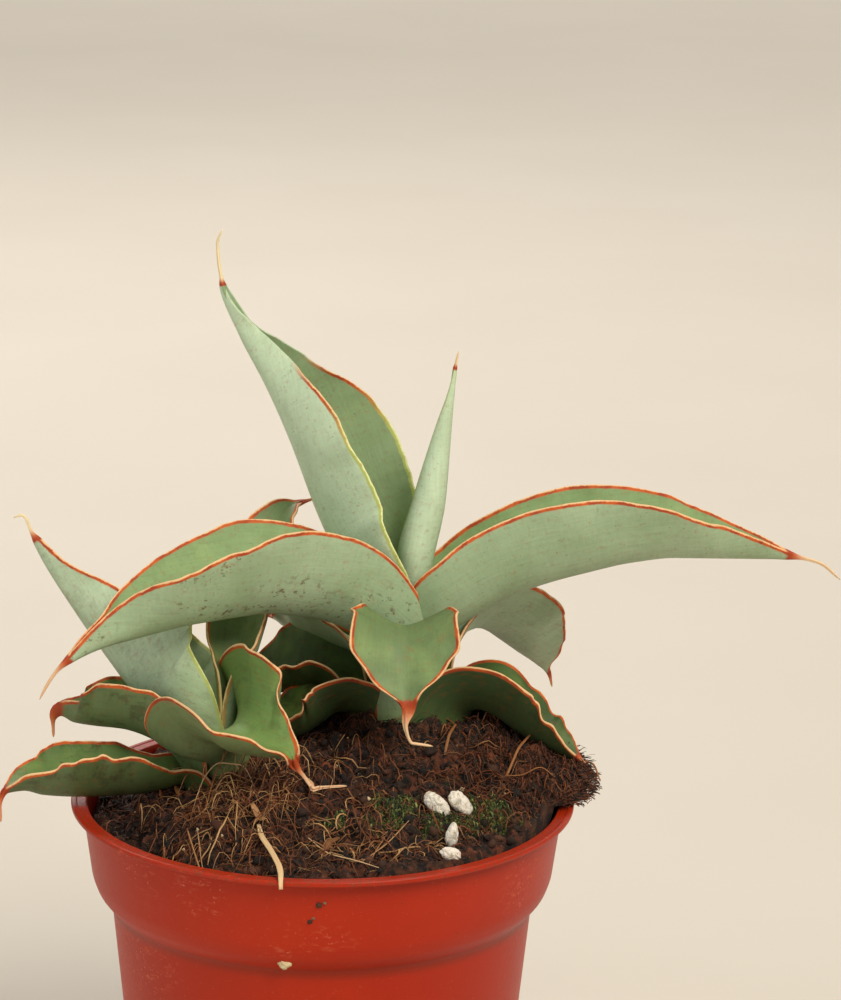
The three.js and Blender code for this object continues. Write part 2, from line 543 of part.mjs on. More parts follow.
const { main, pup } = CROWNS;
const CROWN_DISC = { main: 11, pup: 7, depth: 7 };
const STEM = [ // the creeping stem, from under the main crown to under the pup's
  { at: [main.x + 3, main.y, main.foot - 4.5], radius: 4 },
  { at: [main.x - 10, main.y - 3, main.foot - 6], radius: 3.4 },
  { at: [pup.x + 12, pup.y + 3, pup.foot - 4], radius: 3.2 },
  { at: [pup.x - 2, pup.y, pup.foot - 4], radius: 3 },
];
const ROOT_RADII = [1.7, 1.4, 1.1, 0.7];
const ROOTS = [
  { from: 'main', turn: 350, spread: 12, depth: 52 },
  { from: 'main', turn: 85, spread: 9, depth: 60 },
  { from: 'main', turn: 290, spread: 20, depth: 48 },
  { from: 'main', turn: 235, spread: 24, depth: 62 },
  { from: 'pup', turn: 130, spread: 12, depth: 44 },
  { from: 'pup', turn: 205, spread: 12, depth: 52 },
  { from: 'pup', turn: 300, spread: 16, depth: 46 },
];

function rhizomeSolid(grow = 0) {
  const disc = ({ x, y, foot }, radius) =>
    uprightCylinder(x, y, radius + grow, foot - CROWN_DISC.depth - grow, foot - GAP + grow, 24);
  let solid = disc(main, CROWN_DISC.main).add(disc(pup, CROWN_DISC.pup));
  solid = solid.add(taperedTube(STEM.map((p) => p.at), STEM.map((p) => p.radius + grow), 6));
  for (const root of ROOTS) {
    const crown = CROWNS[root.from];
    const turn = radians(root.turn);
    const at = (share, drop) => [
      crown.x + root.spread * share * Math.cos(turn),
      crown.y + root.spread * share * Math.sin(turn),
      crown.foot - CROWN_DISC.depth + 2 - drop,
    ];
    const { depth } = root;
    const route = [at(0.15, 0), at(0.6, depth * 0.2), at(0.9, depth * 0.55), at(1, depth + grow)];
    solid = solid.add(taperedTube(route, ROOT_RADII.map((r) => r + grow), 4));
  }
  return solid;
}
addNode('rhizome', rhizomeSolid(), 'root');

// Soil: fills the pot, heaped round the crowns, with a clump hanging over the lip at the right
const SOIL_EDGE_HEIGHT = 76.4;
const SOIL_HEAPS = [
  { x: 16, y: 12, height: 14, spread: 17 },
  { x: -8, y: -9, height: 5.2, spread: 12 },
  { x: 40, y: 6, height: 4, spread: 9 },
  { x: 12, y: -24, height: 2.4, spread: 12 },
];
const SOIL_LUMP = 0.8;
const SOIL_SECTORS = 32;
const SOIL_RINGS = [1, 0.93, 0.84, 0.74, 0.63, 0.52, 0.4, 0.28, 0.15]; // shares of the edge's radius
const SOIL_EDGE_RADIUS = BAND_RADIUS - WALL - 1;
const HOLE_DEPTH = 8; // the crowns' holes, below the leaves' feet

function soilHeight(x, y) {
  let height = SOIL_EDGE_HEIGHT;
  for (const heap of SOIL_HEAPS) {
    const away = Math.hypot(x - heap.x, y - heap.y) / heap.spread;
    height += heap.height * Math.exp(-0.5 * away * away);
  }
  const lumps = Math.sin(0.55 * x + 1.3) * Math.sin(0.62 * y + 0.4) + 0.6 * Math.sin(0.93 * x - 0.71 * y);
  return height + SOIL_LUMP * lumps;
}

function soilBody() {
  const wall = innerWall.map(([r, z]) => [r - GAP, z]).reverse();
  wall[0][1] += GAP;
  const points = [new THREE.Vector3(0, 0, FLOOR + GAP)];
  const rings = [];
  for (const [r, z] of wall) rings.push(() => [r, z]);
  for (const share of SOIL_RINGS) rings.push(() => [SOIL_EDGE_RADIUS * share, null]);
  for (const ring of rings) {
    for (let k = 0; k < SOIL_SECTORS; k += 1) {
      const turn = (2 * Math.PI * k) / SOIL_SECTORS;
      const [r, z] = ring();
      const [x, y] = [r * Math.cos(turn), r * Math.sin(turn)];
      points.push(new THREE.Vector3(x, y, z ?? soilHeight(x, y)));
    }
  }
  points.push(new THREE.Vector3(0, 0, soilHeight(0, 0)));
  const triangles = [];
  for (let k = 0; k < SOIL_SECTORS; k += 1) {
    const next = (k + 1) % SOIL_SECTORS;
    triangles.push(0, 1 + next, 1 + k);
    for (let i = 0; i < rings.length - 1; i += 1) {
      const a = 1 + i * SOIL_SECTORS + k;
      const b = 1 + i * SOIL_SECTORS + next;
      triangles.push(a, b, b + SOIL_SECTORS, a, b + SOIL_SECTORS, a + SOIL_SECTORS);
    }
    const last = 1 + (rings.length - 1) * SOIL_SECTORS;
    triangles.push(last + k, last + next, points.length - 1);
  }
  return solidFromPoints(points, triangles);
}

const OVERHANG = { x: 40, y: 6, reach: 10.3, breadth: 14, height: 4.6 };

function overhangingClump() {
  const geometry = new THREE.SphereGeometry(1, 18, 12);
  geometry.rotateX(Math.PI / 2);
  const place = geometry.attributes.position;
  const bottom = POT_HEIGHT + GAP + 0.1;
  for (let i = 0; i < place.count; i += 1) {
    const [a, b, c] = [place.getX(i), place.getY(i), place.getZ(i)];
    const lump = 1 + 0.07 * Math.sin(7 * a + 2) * Math.cos(6 * b + 9 * c);
    place.setXYZ(
      i,
      OVERHANG.x + OVERHANG.reach * a * lump,
      OVERHANG.y + OVERHANG.breadth * b * lump,
      Math.max(bottom, bottom + OVERHANG.height * c * lump),
    );
  }
  return solidFromGeometry(geometry);
}

// Perlite: four large white grains on the soil at the front right
const PERLITE = [
  { x: 20.4, y: -18.2, size: 2.6 },
  { x: 24.4, y: -16.6, size: 2.3 },
  { x: 23, y: -28, size: 2.4 },
  { x: 22.6, y: -32, size: 1.8 },
];

function perliteGrain(grain, grow = 0) {
  const geometry = new THREE.IcosahedronGeometry(1, 1);
  const turn = grain.x + grain.y;
  geometry.scale(grain.size + grow, 0.8 * grain.size + grow, 0.7 * grain.size + grow);
  geometry.rotateZ(turn);
  geometry.rotateX(0.4 * Math.sin(turn));
  geometry.translate(grain.x, grain.y, soilHeight(grain.x, grain.y) + 0.2 * grain.size);
  return solidFromGeometry(geometry);
}

let soil = soilBody().add(overhangingClump());
soil = soil.subtract(rhizomeSolid(GAP));
for (const crown of [main, pup]) {
  const { x, y, foot, holeRadius } = crown;
  soil = soil.subtract(uprightCylinder(x, y, holeRadius, foot - HOLE_DEPTH, foot + 30, 36));
}
for (const leaf of swollen.values()) {
  if (soil.intersect(leaf).volume() > 0) soil = soil.subtract(leaf);
}
PERLITE.forEach((grain, i) => {
  soil = soil.subtract(perliteGrain(grain, GAP));
  addNode(`perlite${i + 1}`, perliteGrain(grain), 'perlite');
});

// A dried straw lying across the soil and the front of the lip
const STRAW = { width: 1.1, thickness: 0.7 };
const strawRoute = [[-11.2, -26], [-10.2, -31], [-8.8, -36], [-7.8, -40.5], [-7.3, -43], [-6.9, -45.6]];

function strawSolid() {
  const outer = [];
  const inner = [];
  for (const [x, y] of strawRoute) {
    const onLip = Math.hypot(x, y) > BAND_RADIUS - WALL - 2.4;
    const rest = Math.max(soilHeight(x, y) + 0.6, onLip ? POT_HEIGHT : 0) + GAP;
    for (const side of [-1, 1]) {
      outer.push(new THREE.Vector3(x + (side * STRAW.width) / 2, y, rest));
      inner.push(new THREE.Vector3(x + (side * STRAW.width) / 2, y, rest + STRAW.thickness));
    }
  }
  return solidFromSheets(outer, inner, strawRoute.length, 2);
}
addNode('straw', strawSolid(), 'straw');
addNode('soil', mainBody(soil), 'soil');

export default plant;
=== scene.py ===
# Potted swan dancer snake plant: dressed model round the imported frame, in metres.
import math

import bpy
import numpy as np
from mathutils import Matrix, Vector


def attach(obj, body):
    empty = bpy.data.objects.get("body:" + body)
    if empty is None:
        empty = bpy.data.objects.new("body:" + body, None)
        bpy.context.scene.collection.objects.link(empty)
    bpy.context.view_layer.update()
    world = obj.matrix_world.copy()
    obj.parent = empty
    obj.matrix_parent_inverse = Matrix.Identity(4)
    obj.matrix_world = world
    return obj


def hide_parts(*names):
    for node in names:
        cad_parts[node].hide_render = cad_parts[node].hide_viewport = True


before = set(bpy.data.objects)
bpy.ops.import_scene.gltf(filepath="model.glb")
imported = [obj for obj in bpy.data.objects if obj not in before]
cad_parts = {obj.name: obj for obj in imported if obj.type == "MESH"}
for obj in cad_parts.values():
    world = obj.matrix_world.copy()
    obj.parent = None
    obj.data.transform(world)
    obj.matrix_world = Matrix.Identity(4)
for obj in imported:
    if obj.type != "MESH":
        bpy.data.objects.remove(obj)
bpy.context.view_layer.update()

mm = 0.001
turnRound = 2 * math.pi
print("frame loaded:", len(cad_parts), "nodes")


# curves and noise

def clamp01(value):
    return np.clip(value, 0.0, 1.0)


def easeInOut(value):
    share = clamp01(value)
    return share * share * (3 - 2 * share)


def throughKnots(knots, x):
    # monotone cubic through [x, y] knots: at each knot the slope is a weighted harmonic mean of
    # the slopes on both sides, and nought where they differ in sign
    knots = np.array(knots, float)
    step = np.diff(knots[:, 0])
    slope = np.diff(knots[:, 1]) / step
    tangent = np.zeros(len(knots))
    tangent[0], tangent[-1] = slope[0], slope[-1]
    before, after = 2 * step[1:] + step[:-1], step[1:] + 2 * step[:-1]
    sameSign = slope[:-1] * slope[1:] > 0
    low = np.where(sameSign, slope[:-1], 1)
    high = np.where(sameSign, slope[1:], 1)
    tangent[1:-1] = np.where(sameSign, (before + after) / (before / low + after / high), 0)
    i = np.clip(np.searchsorted(knots[:, 0], x) - 1, 0, len(step) - 1)
    t = clamp01((x - knots[i, 0]) / step[i])
    rise = knots[i + 1, 1] - knots[i, 1]
    ends = tangent[i] * t * (1 - t) ** 2 - tangent[i + 1] * t * t * (1 - t)
    return knots[i, 1] + rise * t * t * (3 - 2 * t) + ends * step[i]


def cloud(x, y, cell, seed):
    # value noise from -1 to 1: random heights on a square lattice of that cell, eased between
    table = np.random.RandomState(seed).rand(64, 64) * 2 - 1
    gridX, gridY = x / cell + 0.37 * seed, y / cell + 0.71 * seed
    i, j = np.floor(gridX).astype(int), np.floor(gridY).astype(int)
    a, b = easeInOut(gridX - i), easeInOut(gridY - j)
    at = lambda di, dj: table[(i + di) % 64, (j + dj) % 64]
    return (at(0, 0) * (1 - a) + at(1, 0) * a) * (1 - b) + (at(0, 1) * (1 - a) + at(1, 1) * a) * b


def unit(vectors):
    return vectors / np.maximum(np.linalg.norm(vectors, axis=-1, keepdims=True), 1e-12)


def colour(red, green, blue):
    # a screen colour, 0 to 255, as the linear values that shaders use
    screen = np.array([red, green, blue]) / 255
    linear = np.where(screen <= 0.04045, screen / 12.92, ((screen + 0.055) / 1.055) ** 2.4)
    return (*[float(round(c, 5)) for c in linear], 1.0)


# meshes

def makePiece(name, points, faces, material, replaces=(), values=None):
    # points in metres; faces is a list of arrays, each of triangles or of quads; values are
    # attributes of the points, numbers or vectors, which the materials read
    mesh = bpy.data.meshes.new(name)
    points = np.asarray(points, float).reshape(-1, 3)
    mesh.vertices.add(len(points))
    mesh.vertices.foreach_set("co", points.ravel())
    sizes = np.concatenate([np.full(len(f), f.shape[1]) for f in faces])
    corners = np.concatenate([f.ravel() for f in faces])
    mesh.loops.add(len(corners))
    mesh.loops.foreach_set("vertex_index", corners.astype(np.int32))
    mesh.polygons.add(len(sizes))
    mesh.polygons.foreach_set("loop_start", (np.cumsum(sizes) - sizes).astype(np.int32))
    mesh.polygons.foreach_set("loop_total", sizes.astype(np.int32))
    mesh.update(calc_edges=True)
    mesh.polygons.foreach_set("use_smooth", np.ones(len(sizes), bool))
    for key, array in (values or {}).items():
        array = np.asarray(array, float)
        wide = array.ndim > 1
        layer = mesh.attributes.new(key, "FLOAT_VECTOR" if wide else "FLOAT", "POINT")
        layer.data.foreach_set("vector" if wide else "value", array.ravel())
    mesh.materials.append(material)
    piece = bpy.data.objects.new(name, mesh)
    bpy.context.scene.collection.objects.link(piece)
    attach(piece, "root")
    if replaces:
        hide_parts(*replaces)
    return piece


def tubeFaces(rows, around):
    # quads of a tube of points, ring after ring, each ring closed on itself
    column = np.arange(around)
    ring = np.arange(rows - 1)[:, None] * around
    a, b = ring + column, ring + (column + 1) % around
    return np.stack([a, b, b + around, a + around], -1).reshape(-1, 4)


def capFaces(ring, centre, flip=False):
    # triangles from a closed ring of point numbers to one centre point
    following = np.roll(ring, -1)
    middle = np.full(len(ring), centre)
    return np.stack([following, ring, middle] if flip else [ring, following, middle], -1)


def closedFaces(rows, around):
    # a tube with a fan over each end; the two middle points follow the tube's own
    first = np.arange(around)
    last = first + (rows - 1) * around
    return [tubeFaces(rows, around), capFaces(first, rows * around, flip=True),
            capFaces(last, rows * around + 1)]


def repeatedFaces(faces, copies, size):
    # one shape's faces again for each of its copies, which have that many points each
    return (faces + (np.arange(copies) * size)[:, None, None]).reshape(-1, faces.shape[1])


def ringPoints(radius, height, turn):
    # points round the upright axis, a radius and a height for each or for whole rings
    return np.stack([radius * np.cos(turn), radius * np.sin(turn), height + 0 * turn], -1)


def turnedBy(x, y, angle):
    # two coordinates turned by an angle in radians
    return x * np.cos(angle) - y * np.sin(angle), x * np.sin(angle) + y * np.cos(angle)


# shaders

class Wire:
    # a node's output; arithmetic on it adds Math nodes
    def __init__(self, maker, socket):
        self.maker = maker
        self.socket = socket

    def __add__(self, other):
        return self.maker.maths("ADD", self, other)

    def __radd__(self, other):
        return self.maker.maths("ADD", other, self)

    def __sub__(self, other):
        return self.maker.maths("SUBTRACT", self, other)

    def __rsub__(self, other):
        return self.maker.maths("SUBTRACT", other, self)

    def __mul__(self, other):
        return self.maker.maths("MULTIPLY", self, other)

    def __rmul__(self, other):
        return self.maker.maths("MULTIPLY", other, self)


class ShaderMaker:
    # builds one material: its methods give Wires to go on with, and finish gives the material
    def __init__(self, name):
        self.material = bpy.data.materials.new(name)
        self.material.use_nodes = True
        self.tree = self.material.node_tree
        self.tree.nodes.clear()

    def node(self, kind, settings=None, inputs=None, output=0):
        made = self.tree.nodes.new(kind)
        for key, value in (settings or {}).items():
            setattr(made, key, value)
        for key, value in (inputs or {}).items():
            if isinstance(value, Wire):
                self.tree.links.new(value.socket, made.inputs[key])
            else:
                made.inputs[key].default_value = value
        return Wire(self, made.outputs[output]) if made.outputs else made

    def maths(self, operation, a, b=0.0):
        return self.node("ShaderNodeMath", {"operation": operation}, {0: a, 1: b})

    def value(self, name):
        # a number kept on the piece's points
        return self.node("ShaderNodeAttribute", {"attribute_name": name}, output="Fac")

    def vector(self, name):
        return self.node("ShaderNodeAttribute", {"attribute_name": name}, output="Vector")

    def place(self):
        # Object coordinates in millimetres
        where = self.node("ShaderNodeTexCoord", output="Object")
        return self.node("ShaderNodeVectorMath", {"operation": "SCALE"}, {0: where, "Scale": 1000.0})

    def stretch(self, vector, scale):
        return self.node("ShaderNodeMapping", {}, {"Vector": vector, "Scale": scale})

    def noise(self, vector, scale, detail=2.0, roughness=0.5):
        return self.node("ShaderNodeTexNoise", {}, {
            "Vector": vector, "Scale": scale, "Detail": detail, "Roughness": roughness})

    def between(self, value, low, high):
        # 0 below low, 1 above high, eased between
        return self.node("ShaderNodeMapRange", {"interpolation_type": "SMOOTHSTEP"}, {
            "Value": value, "From Min": low, "From Max": high}, "Result")

    def mix(self, a, b, factor):
        return self.node("ShaderNodeMix", {"data_type": "RGBA"}, {0: factor, 6: a, 7: b}, 2)

    def shade(self, tint, factor):
        # a colour made darker or lighter
        return self.node("ShaderNodeVectorMath", {"operation": "SCALE"}, {0: tint, "Scale": factor})

    def finish(self, tint, roughness, height=None, bump=0.2, depth=0.0002, **constants):
        # the skin itself: height is the relief, depth how deep it is in metres
        inputs = {"Base Color": tint, "Roughness": roughness}
        if height is not None:
            inputs["Normal"] = self.node("ShaderNodeBump", {}, {
                "Strength": bump, "Distance": depth, "Height": height})
        inputs.update({key.replace("_", " "): value for key, value in constants.items()})
        skin = self.node("ShaderNodeBsdfPrincipled", {}, inputs)
        self.node("ShaderNodeOutputMaterial", {}, {"Surface": skin})
        return self.material


# camera: a long lens, looking slightly down, as in the photo

camera = dict(
    pitch=14.6, roll=0.9,  # degrees
    focalPixels=3702, longSide=1000,  # the lens and the picture's long side, in pixels
    sensor=36.0,
    target=(16.65, 0, 132.9), distance=650,  # millimetres
    clip=(0.05, 50),  # metres
)


def makeCamera():
    # stands back from the target along the line of sight, which the pitch tips down
    pitch, roll = math.radians(camera["pitch"]), math.radians(camera["roll"])
    forward = Vector((0, math.cos(pitch), -math.sin(pitch)))
    up = Vector((0, math.sin(pitch), math.cos(pitch)))
    right = Vector((1, 0, 0))
    rolledRight = right * math.cos(roll) + up * math.sin(roll)
    rolledUp = up * math.cos(roll) - right * math.sin(roll)
    lens = bpy.data.cameras.new("camera")
    lens.sensor_width = camera["sensor"]
    lens.lens = camera["focalPixels"] / camera["longSide"] * camera["sensor"]
    lens.clip_start, lens.clip_end = camera["clip"]
    body = bpy.data.objects.new("camera", lens)
    turned = Matrix((rolledRight, rolledUp, -forward)).transposed().to_4x4()
    place = (Vector(camera["target"]) - forward * camera["distance"]) * mm
    body.matrix_world = Matrix.Translation(place) @ turned
    bpy.context.scene.collection.objects.link(body)
    bpy.context.scene.camera = body


makeCamera()
print("camera set")


# leaves: two rosettes of folded blades, each a closed skin with a rounded hard margin

crowns = {"main": (15, 15, 82), "pup": (-18, 2, 76)}  # where a crown's axis meets its leaves' feet

leafMake = dict(
    rows=120,  # stations along a leaf
    halfColumns=14,  # columns from the keel to each margin
    subSteps=5,  # finer steps in which a section's bend is added up
    keelSharpness=3,
    tangentReach=0.02,  # share of the length, both ways, over which the direction is taken
    edgeSkin=0.36, edgeThinning=2.5,
    rim=dict(rise=0.1, reach=0.9, fromWidth=3, angles=(-45, 0, 45)),  # the hard, rounded margin
    tip=dict(taper=0.03, blunt=0.02, shrink=0.4, shrinkRate=2.5),
    ripple=dict(start=0.24, rise=0.2, end=0.97, fall=0.14, gather=3,
                sideBeat=0.07, sidePhase=1.9, overtone=0.45, overtoneBeat=1.7),
    hem=dict(waves=[(11.0, 0.5), (6.3, 0.5), (3.9, 0.35), (2.6, 0.22)],  # wavelength, strength
             fromWidth=1.5, overWidth=8, gather=5, notch=0.35, notchGather=8),
)

# azimuth: degrees, the way a leaf points; sheath: the share in which it wraps round the crown;
# path: the keel as [reach from the crown's axis, height over its foot, and swerve to the left if
# any] in mm. The other lists are [share of the length, value]: width is the flat width, fold the
# angle at which the margins stand up, keel how sharply the fold sits in the middle, twist the
# roll about the keel, skin the thickness, blush the orange of the margins and line how plainly
# they are drawn. wave, waves and phase are the margins' broad waves in mm, their number and
# start, and hem is the strength of the fine ones. dry is where the tip starts and ends to
# wither, cream how pale it withers, bloom the pale wax of the back, deep the darkness of the
# green, partly the leaf's own and partly painted shade, most of it on the low leaves. Most
# leaves share the usual values.
leafUsual = dict(
    crown="main", keel=[[0, 0], [0.2, 0.2], [0.45, 0.6], [1, 0.7]], twist=[[0, 0], [1, 0]],
    skin=[[0, 1.05], [0.2, 1.3], [0.45, 2.6], [0.8, 1.6], [1, 0.8]],
    blush=[[0, 1], [1, 1]], line=[[0, 1], [1, 1]], wave=0.4, waves=5, cream=0.3,
)
leaves = {
    "mainCentre": dict(
        azimuth=0, sheath=0.3,
        path=[[1.9, 0], [1.9, 18], [2.9, 28], [4.2, 36], [6.2, 47], [6.9, 58], [7.4, 66], [7.9, 71.5],
              [8.4, 74.5]],
        width=[[0, 10.5], [0.3, 12], [0.5, 20], [0.62, 17.5], [0.78, 10], [0.9, 3], [0.95, 1.6],
               [1, 1]],
        fold=[[0.5, 168], [0.78, 160], [0.9, 110], [1, 80]],
        keel=[[0, 0], [1, 0]],
        skin=[[0, 0.9], [0.5, 1.4], [0.8, 1.0], [1, 0.8]],
        wave=0, phase=0, dry=[0.955, 0.99], bloom=1.0, deep=0.3, blush=[[0, 0], [1, 0.1]],
        line=[[0, 0.5], [0.5, 0.15], [1, 0.15]], cream=0.8, hem=0.0, scars=0.0, dirt=0.0,
    ),
    "mainTall": dict(
        azimuth=158, sheath=0.17,
        path=[[3.5, 0], [3.5, 17], [6.5, 25], [16, 39], [24.3, 57.5], [28.8, 65.5], [34.2, 74.2],
              [38.2, 83], [39, 90.6], [37.9, 93.4]],
        width=[[0, 18], [0.17, 19], [0.36, 36], [0.48, 39.5], [0.6, 35.5], [0.69, 22], [0.79, 10.5],
               [0.85, 5], [0.89, 2.6], [0.93, 1.6], [1, 1]],
        fold=[[0.35, 88], [0.48, 88], [0.6, 82], [0.69, 98], [0.79, 110], [0.9, 90], [1, 80]],
        keel=[[0, 0], [0.2, 0.1], [0.4, 0.7], [1, 0.7]],
        skin=[[0, 1.05], [0.2, 1.3], [0.45, 3], [0.8, 2], [0.9, 1.2], [1, 0.8]],
        wave=0.5, waves=6, phase=0.4, dry=[0.893, 0.93], bloom=1.0, deep=0.55,
        blush=[[0, 0], [0.52, 0.05], [0.66, 0.75], [1, 1]], line=[[0, 1], [0.66, 1], [0.72, 0], [1, 0]],
        cream=1.0, hem=0.35, scars=0.05, dirt=0.0,
    ),
    "mainRight": dict(
        azimuth=0, sheath=0.17,
        path=[[5, 0], [5, 15], [6, 20], [8.5, 23], [12.8, 26], [18.5, 29.3], [24, 31.6], [32, 34],
              [40, 36], [48, 37], [58, 37], [65, 37], [69.5, 36.8], [73.5, 36], [77.5, 33]],
        width=[[0, 20], [0.17, 22], [0.28, 32], [0.5, 37], [0.62, 32], [0.75, 20], [0.84, 10],
               [0.89, 4], [0.93, 1.8], [1, 1]],
        fold=[[0.3, 88], [0.5, 84], [0.62, 76], [0.74, 66], [0.82, 74], [0.9, 82], [1, 80]],
        keel=[[0, 0], [0.15, 0.1], [0.35, 0.7], [1, 0.7]],
        twist=[[0, 0], [0.4, 5], [1, 5]],
        skin=[[0, 1.05], [0.15, 1.3], [0.4, 3], [0.75, 2.4], [0.87, 1.4], [1, 0.8]],
        waves=6, phase=1.7, dry=[0.885, 0.985], bloom=0.48, deep=0.3,
        blush=[[0, 0], [0.17, 0.1], [0.26, 1], [1, 1]], cream=0.75, hem=0.22, scars=0.1, dirt=0.1,
    ),
    "mainLeft": dict(
        azimuth=206, sheath=0.16,
        path=[[6.5, 0], [6.5, 14], [8, 20], [14.4, 25.2], [21.8, 27.6], [30, 29], [42, 28.6],
              [52.6, 27.2], [59, 26.2], [63.6, 24.8], [67, 23], [69, 20.8], [70.8, 18]],
        width=[[0, 21], [0.16, 22.5], [0.24, 28], [0.32, 35.5], [0.4, 40], [0.48, 41], [0.55, 38],
               [0.65, 32], [0.75, 22], [0.82, 12.5], [0.87, 6.5], [0.91, 3], [0.95, 1.8], [1, 1]],
        fold=[[0.32, 88], [0.45, 80], [0.55, 72], [0.68, 66], [0.77, 84], [0.84, 102], [0.92, 95],
              [1, 80]],
        keel=[[0, 0], [0.15, 0.1], [0.35, 0.7], [1, 0.7]],
        twist=[[0, 0], [0.35, -8], [0.6, -8], [0.8, -14], [1, -14]],
        skin=[[0, 1.05], [0.15, 1.3], [0.4, 3], [0.75, 2.4], [0.87, 1.4], [1, 0.8]],
        waves=6, phase=0.2, dry=[0.9, 1.0], bloom=0.52, deep=0.25, blush=[[0, 0.9], [1, 1]], cream=0.6,
        hem=0.25, scars=1.0, dirt=0.15,
    ),
    "mainFront": dict(
        azimuth=270, sheath=0.36,
        path=[[9.2, 0], [9.2, 16, -0.3], [9.9, 21.8, -0.7], [12, 24.8, -0.8], [15.6, 24.4, -0.8],
              [20, 20.7, -0.6], [23.5, 17, -0.4], [25.2, 13, -0.2], [25.6, 9.6, 0.8], [25.9, 9, 4.5]],
        width=[[0, 12.5], [0.38, 13], [0.46, 17], [0.53, 22.5], [0.6, 24.5], [0.68, 19], [0.76, 9.5],
               [0.81, 3.4], [0.86, 1.6], [1, 1]],
        fold=[[0.46, 60], [0.6, 52], [0.75, 44], [0.85, 60], [1, 60]],
        keel=[[0, 0], [0.4, 0.1], [0.55, 0.5], [1, 0.5]],
        skin=[[0, 1.05], [0.35, 1.3], [0.5, 2.2], [0.75, 1.5], [1, 0.8]],
        wave=0.6, waves=6, phase=0.9, dry=[0.78, 1.0], bloom=0.35, deep=0.8, cream=0.7, hem=0.5,
        scars=0.25, dirt=0.2,
    ),
    "mainBackLeftHigh": dict(
        azimuth=132, sheath=0.25,
        path=[[8, 0], [8, 11], [9, 14.4], [12, 15.4], [18, 15.3], [26, 15.2], [33, 15.3], [39, 15.8],
              [42, 15.2]],
        width=[[0, 12], [0.2, 13], [0.45, 27], [0.6, 26], [0.78, 16], [0.88, 6], [0.93, 2], [1, 1]],
        fold=[[0.4, 62], [0.6, 56], [0.8, 50], [1, 70]],
        keel=[[0, 0], [0.25, 0.1], [0.45, 0.7], [1, 0.7]],
        phase=2.3, dry=[0.92, 1.1], bloom=0.5, deep=0.6, cream=0.4, hem=0.4, scars=0.1, dirt=0.2,
    ),
    "mainBackRight": dict(
        azimuth=50, sheath=0.22,
        path=[[8, 0], [8, 14], [9, 17.4], [12, 19.2], [16, 19.4], [20, 18.6], [24, 16.8], [28, 14.2],
              [33, 10.8], [38, 7.4], [41, 4.8], [42.2, 1.8]],
        width=[[0, 12], [0.22, 14], [0.45, 30], [0.6, 29], [0.78, 19], [0.88, 8], [0.93, 2], [1, 1]],
        fold=[[0.4, 62], [0.6, 56], [0.8, 50], [1, 70]],
        keel=[[0, 0], [0.22, 0.1], [0.45, 0.7], [1, 0.7]],
        phase=1.1, dry=[0.93, 1.05], bloom=0.5, deep=0.45, hem=0.4, scars=0.1, dirt=0.3,
    ),
    "mainBackLeftLow": dict(
        azimuth=158, sheath=0.18,
        path=[[9.5, 0], [9.5, 5], [10.5, 8.4], [14, 9.8], [20, 9], [27, 8], [32, 7.4], [36, 6.4]],
        width=[[0, 13], [0.18, 14], [0.4, 25], [0.65, 26], [0.82, 16], [0.91, 6], [0.96, 2], [1, 1]],
        fold=[[0.35, 72], [0.6, 66], [0.8, 56], [1, 70]],
        keel=[[0, 0], [0.22, 0.1], [0.45, 0.7], [1, 0.7]],
        twist=[[0, 0], [0.3, 8], [0.6, 18], [1, 18]],
        skin=[[0, 1.05], [0.2, 1.3], [0.45, 2.4], [0.8, 1.6], [1, 0.8]],
        phase=0.6, dry=[0.93, 1.1], bloom=0.12, deep=0.9, hem=0.45, scars=0.2, dirt=0.7,
    ),
    "mainLowRight": dict(
        azimuth=345, sheath=0.1,
        path=[[11, 0], [11, 5], [11.6, 8], [13.4, 8.8], [16.4, 7.8], [20, 5.5], [24, 3.3], [29, 1.4],
              [33.4, 0.2]],
        width=[[0, 26], [0.12, 27], [0.35, 28], [0.55, 26.5], [0.75, 20], [0.87, 11], [0.94, 4],
               [1, 1]],
        fold=[[0.3, 64], [0.5, 52], [0.8, 44], [1, 60]],
        keel=[[0, 0], [0.15, 0.1], [0.45, 0.5], [1, 0.6]],
        twist=[[0, 0], [0.2, 8], [0.5, 18], [0.8, 14], [1, 6]],
        wave=0.35, phase=0.3, dry=[0.93, 1.05], bloom=0.06, deep=1.0, hem=0.5, scars=0.15, dirt=0.5,
    ),
    "mainLowLeft": dict(
        azimuth=204, sheath=0.12,
        path=[[11, 0], [11, 6], [11.8, 8.4], [14, 8.6], [17, 7], [21, 5], [25, 4.2], [29, 4]],
        width=[[0, 15], [0.12, 15], [0.3, 17.5], [0.48, 23], [0.62, 26], [0.76, 20], [0.87, 12],
               [0.94, 4], [1, 1]],
        fold=[[0.3, 64], [0.5, 56], [0.8, 46], [1, 60]],
        keel=[[0, 0], [0.15, 0.1], [0.45, 0.5], [1, 0.6]],
        twist=[[0, 0], [0.2, -10], [0.5, -18], [1, -16]],
        wave=0.5, phase=2.1, dry=[0.92, 1.1], bloom=0.06, deep=1.0, cream=0.2, hem=0.5, scars=0.4,
        dirt=1.0,
    ),
    "pupInner": dict(
        crown="pup", azimuth=70, sheath=0.25,
        path=[[2.2, 0], [2.2, 10], [3.8, 17], [8.4, 25], [13.6, 32], [19, 39.4], [24, 45, -0.6],
              [27.5, 47.8, -2.2], [32, 49, -5.6]],
        width=[[0, 11], [0.25, 12], [0.45, 18], [0.6, 18], [0.8, 12], [0.88, 7.5], [0.93, 2.4], [1, 1]],
        fold=[[0.45, 90], [0.6, 76], [0.8, 60], [1, 70]],
        keel=[[0, 0], [0.5, 0.3], [1, 0.5]],
        skin=[[0, 0.95], [0.5, 1.8], [0.8, 1.4], [1, 0.8]],
        wave=0.3, phase=0, dry=[0.925, 1.05], bloom=0.35, deep=0.7,
        blush=[[0, 0.2], [0.5, 0.6], [1, 1]], hem=0.3, scars=0.2, dirt=0.2,
    ),
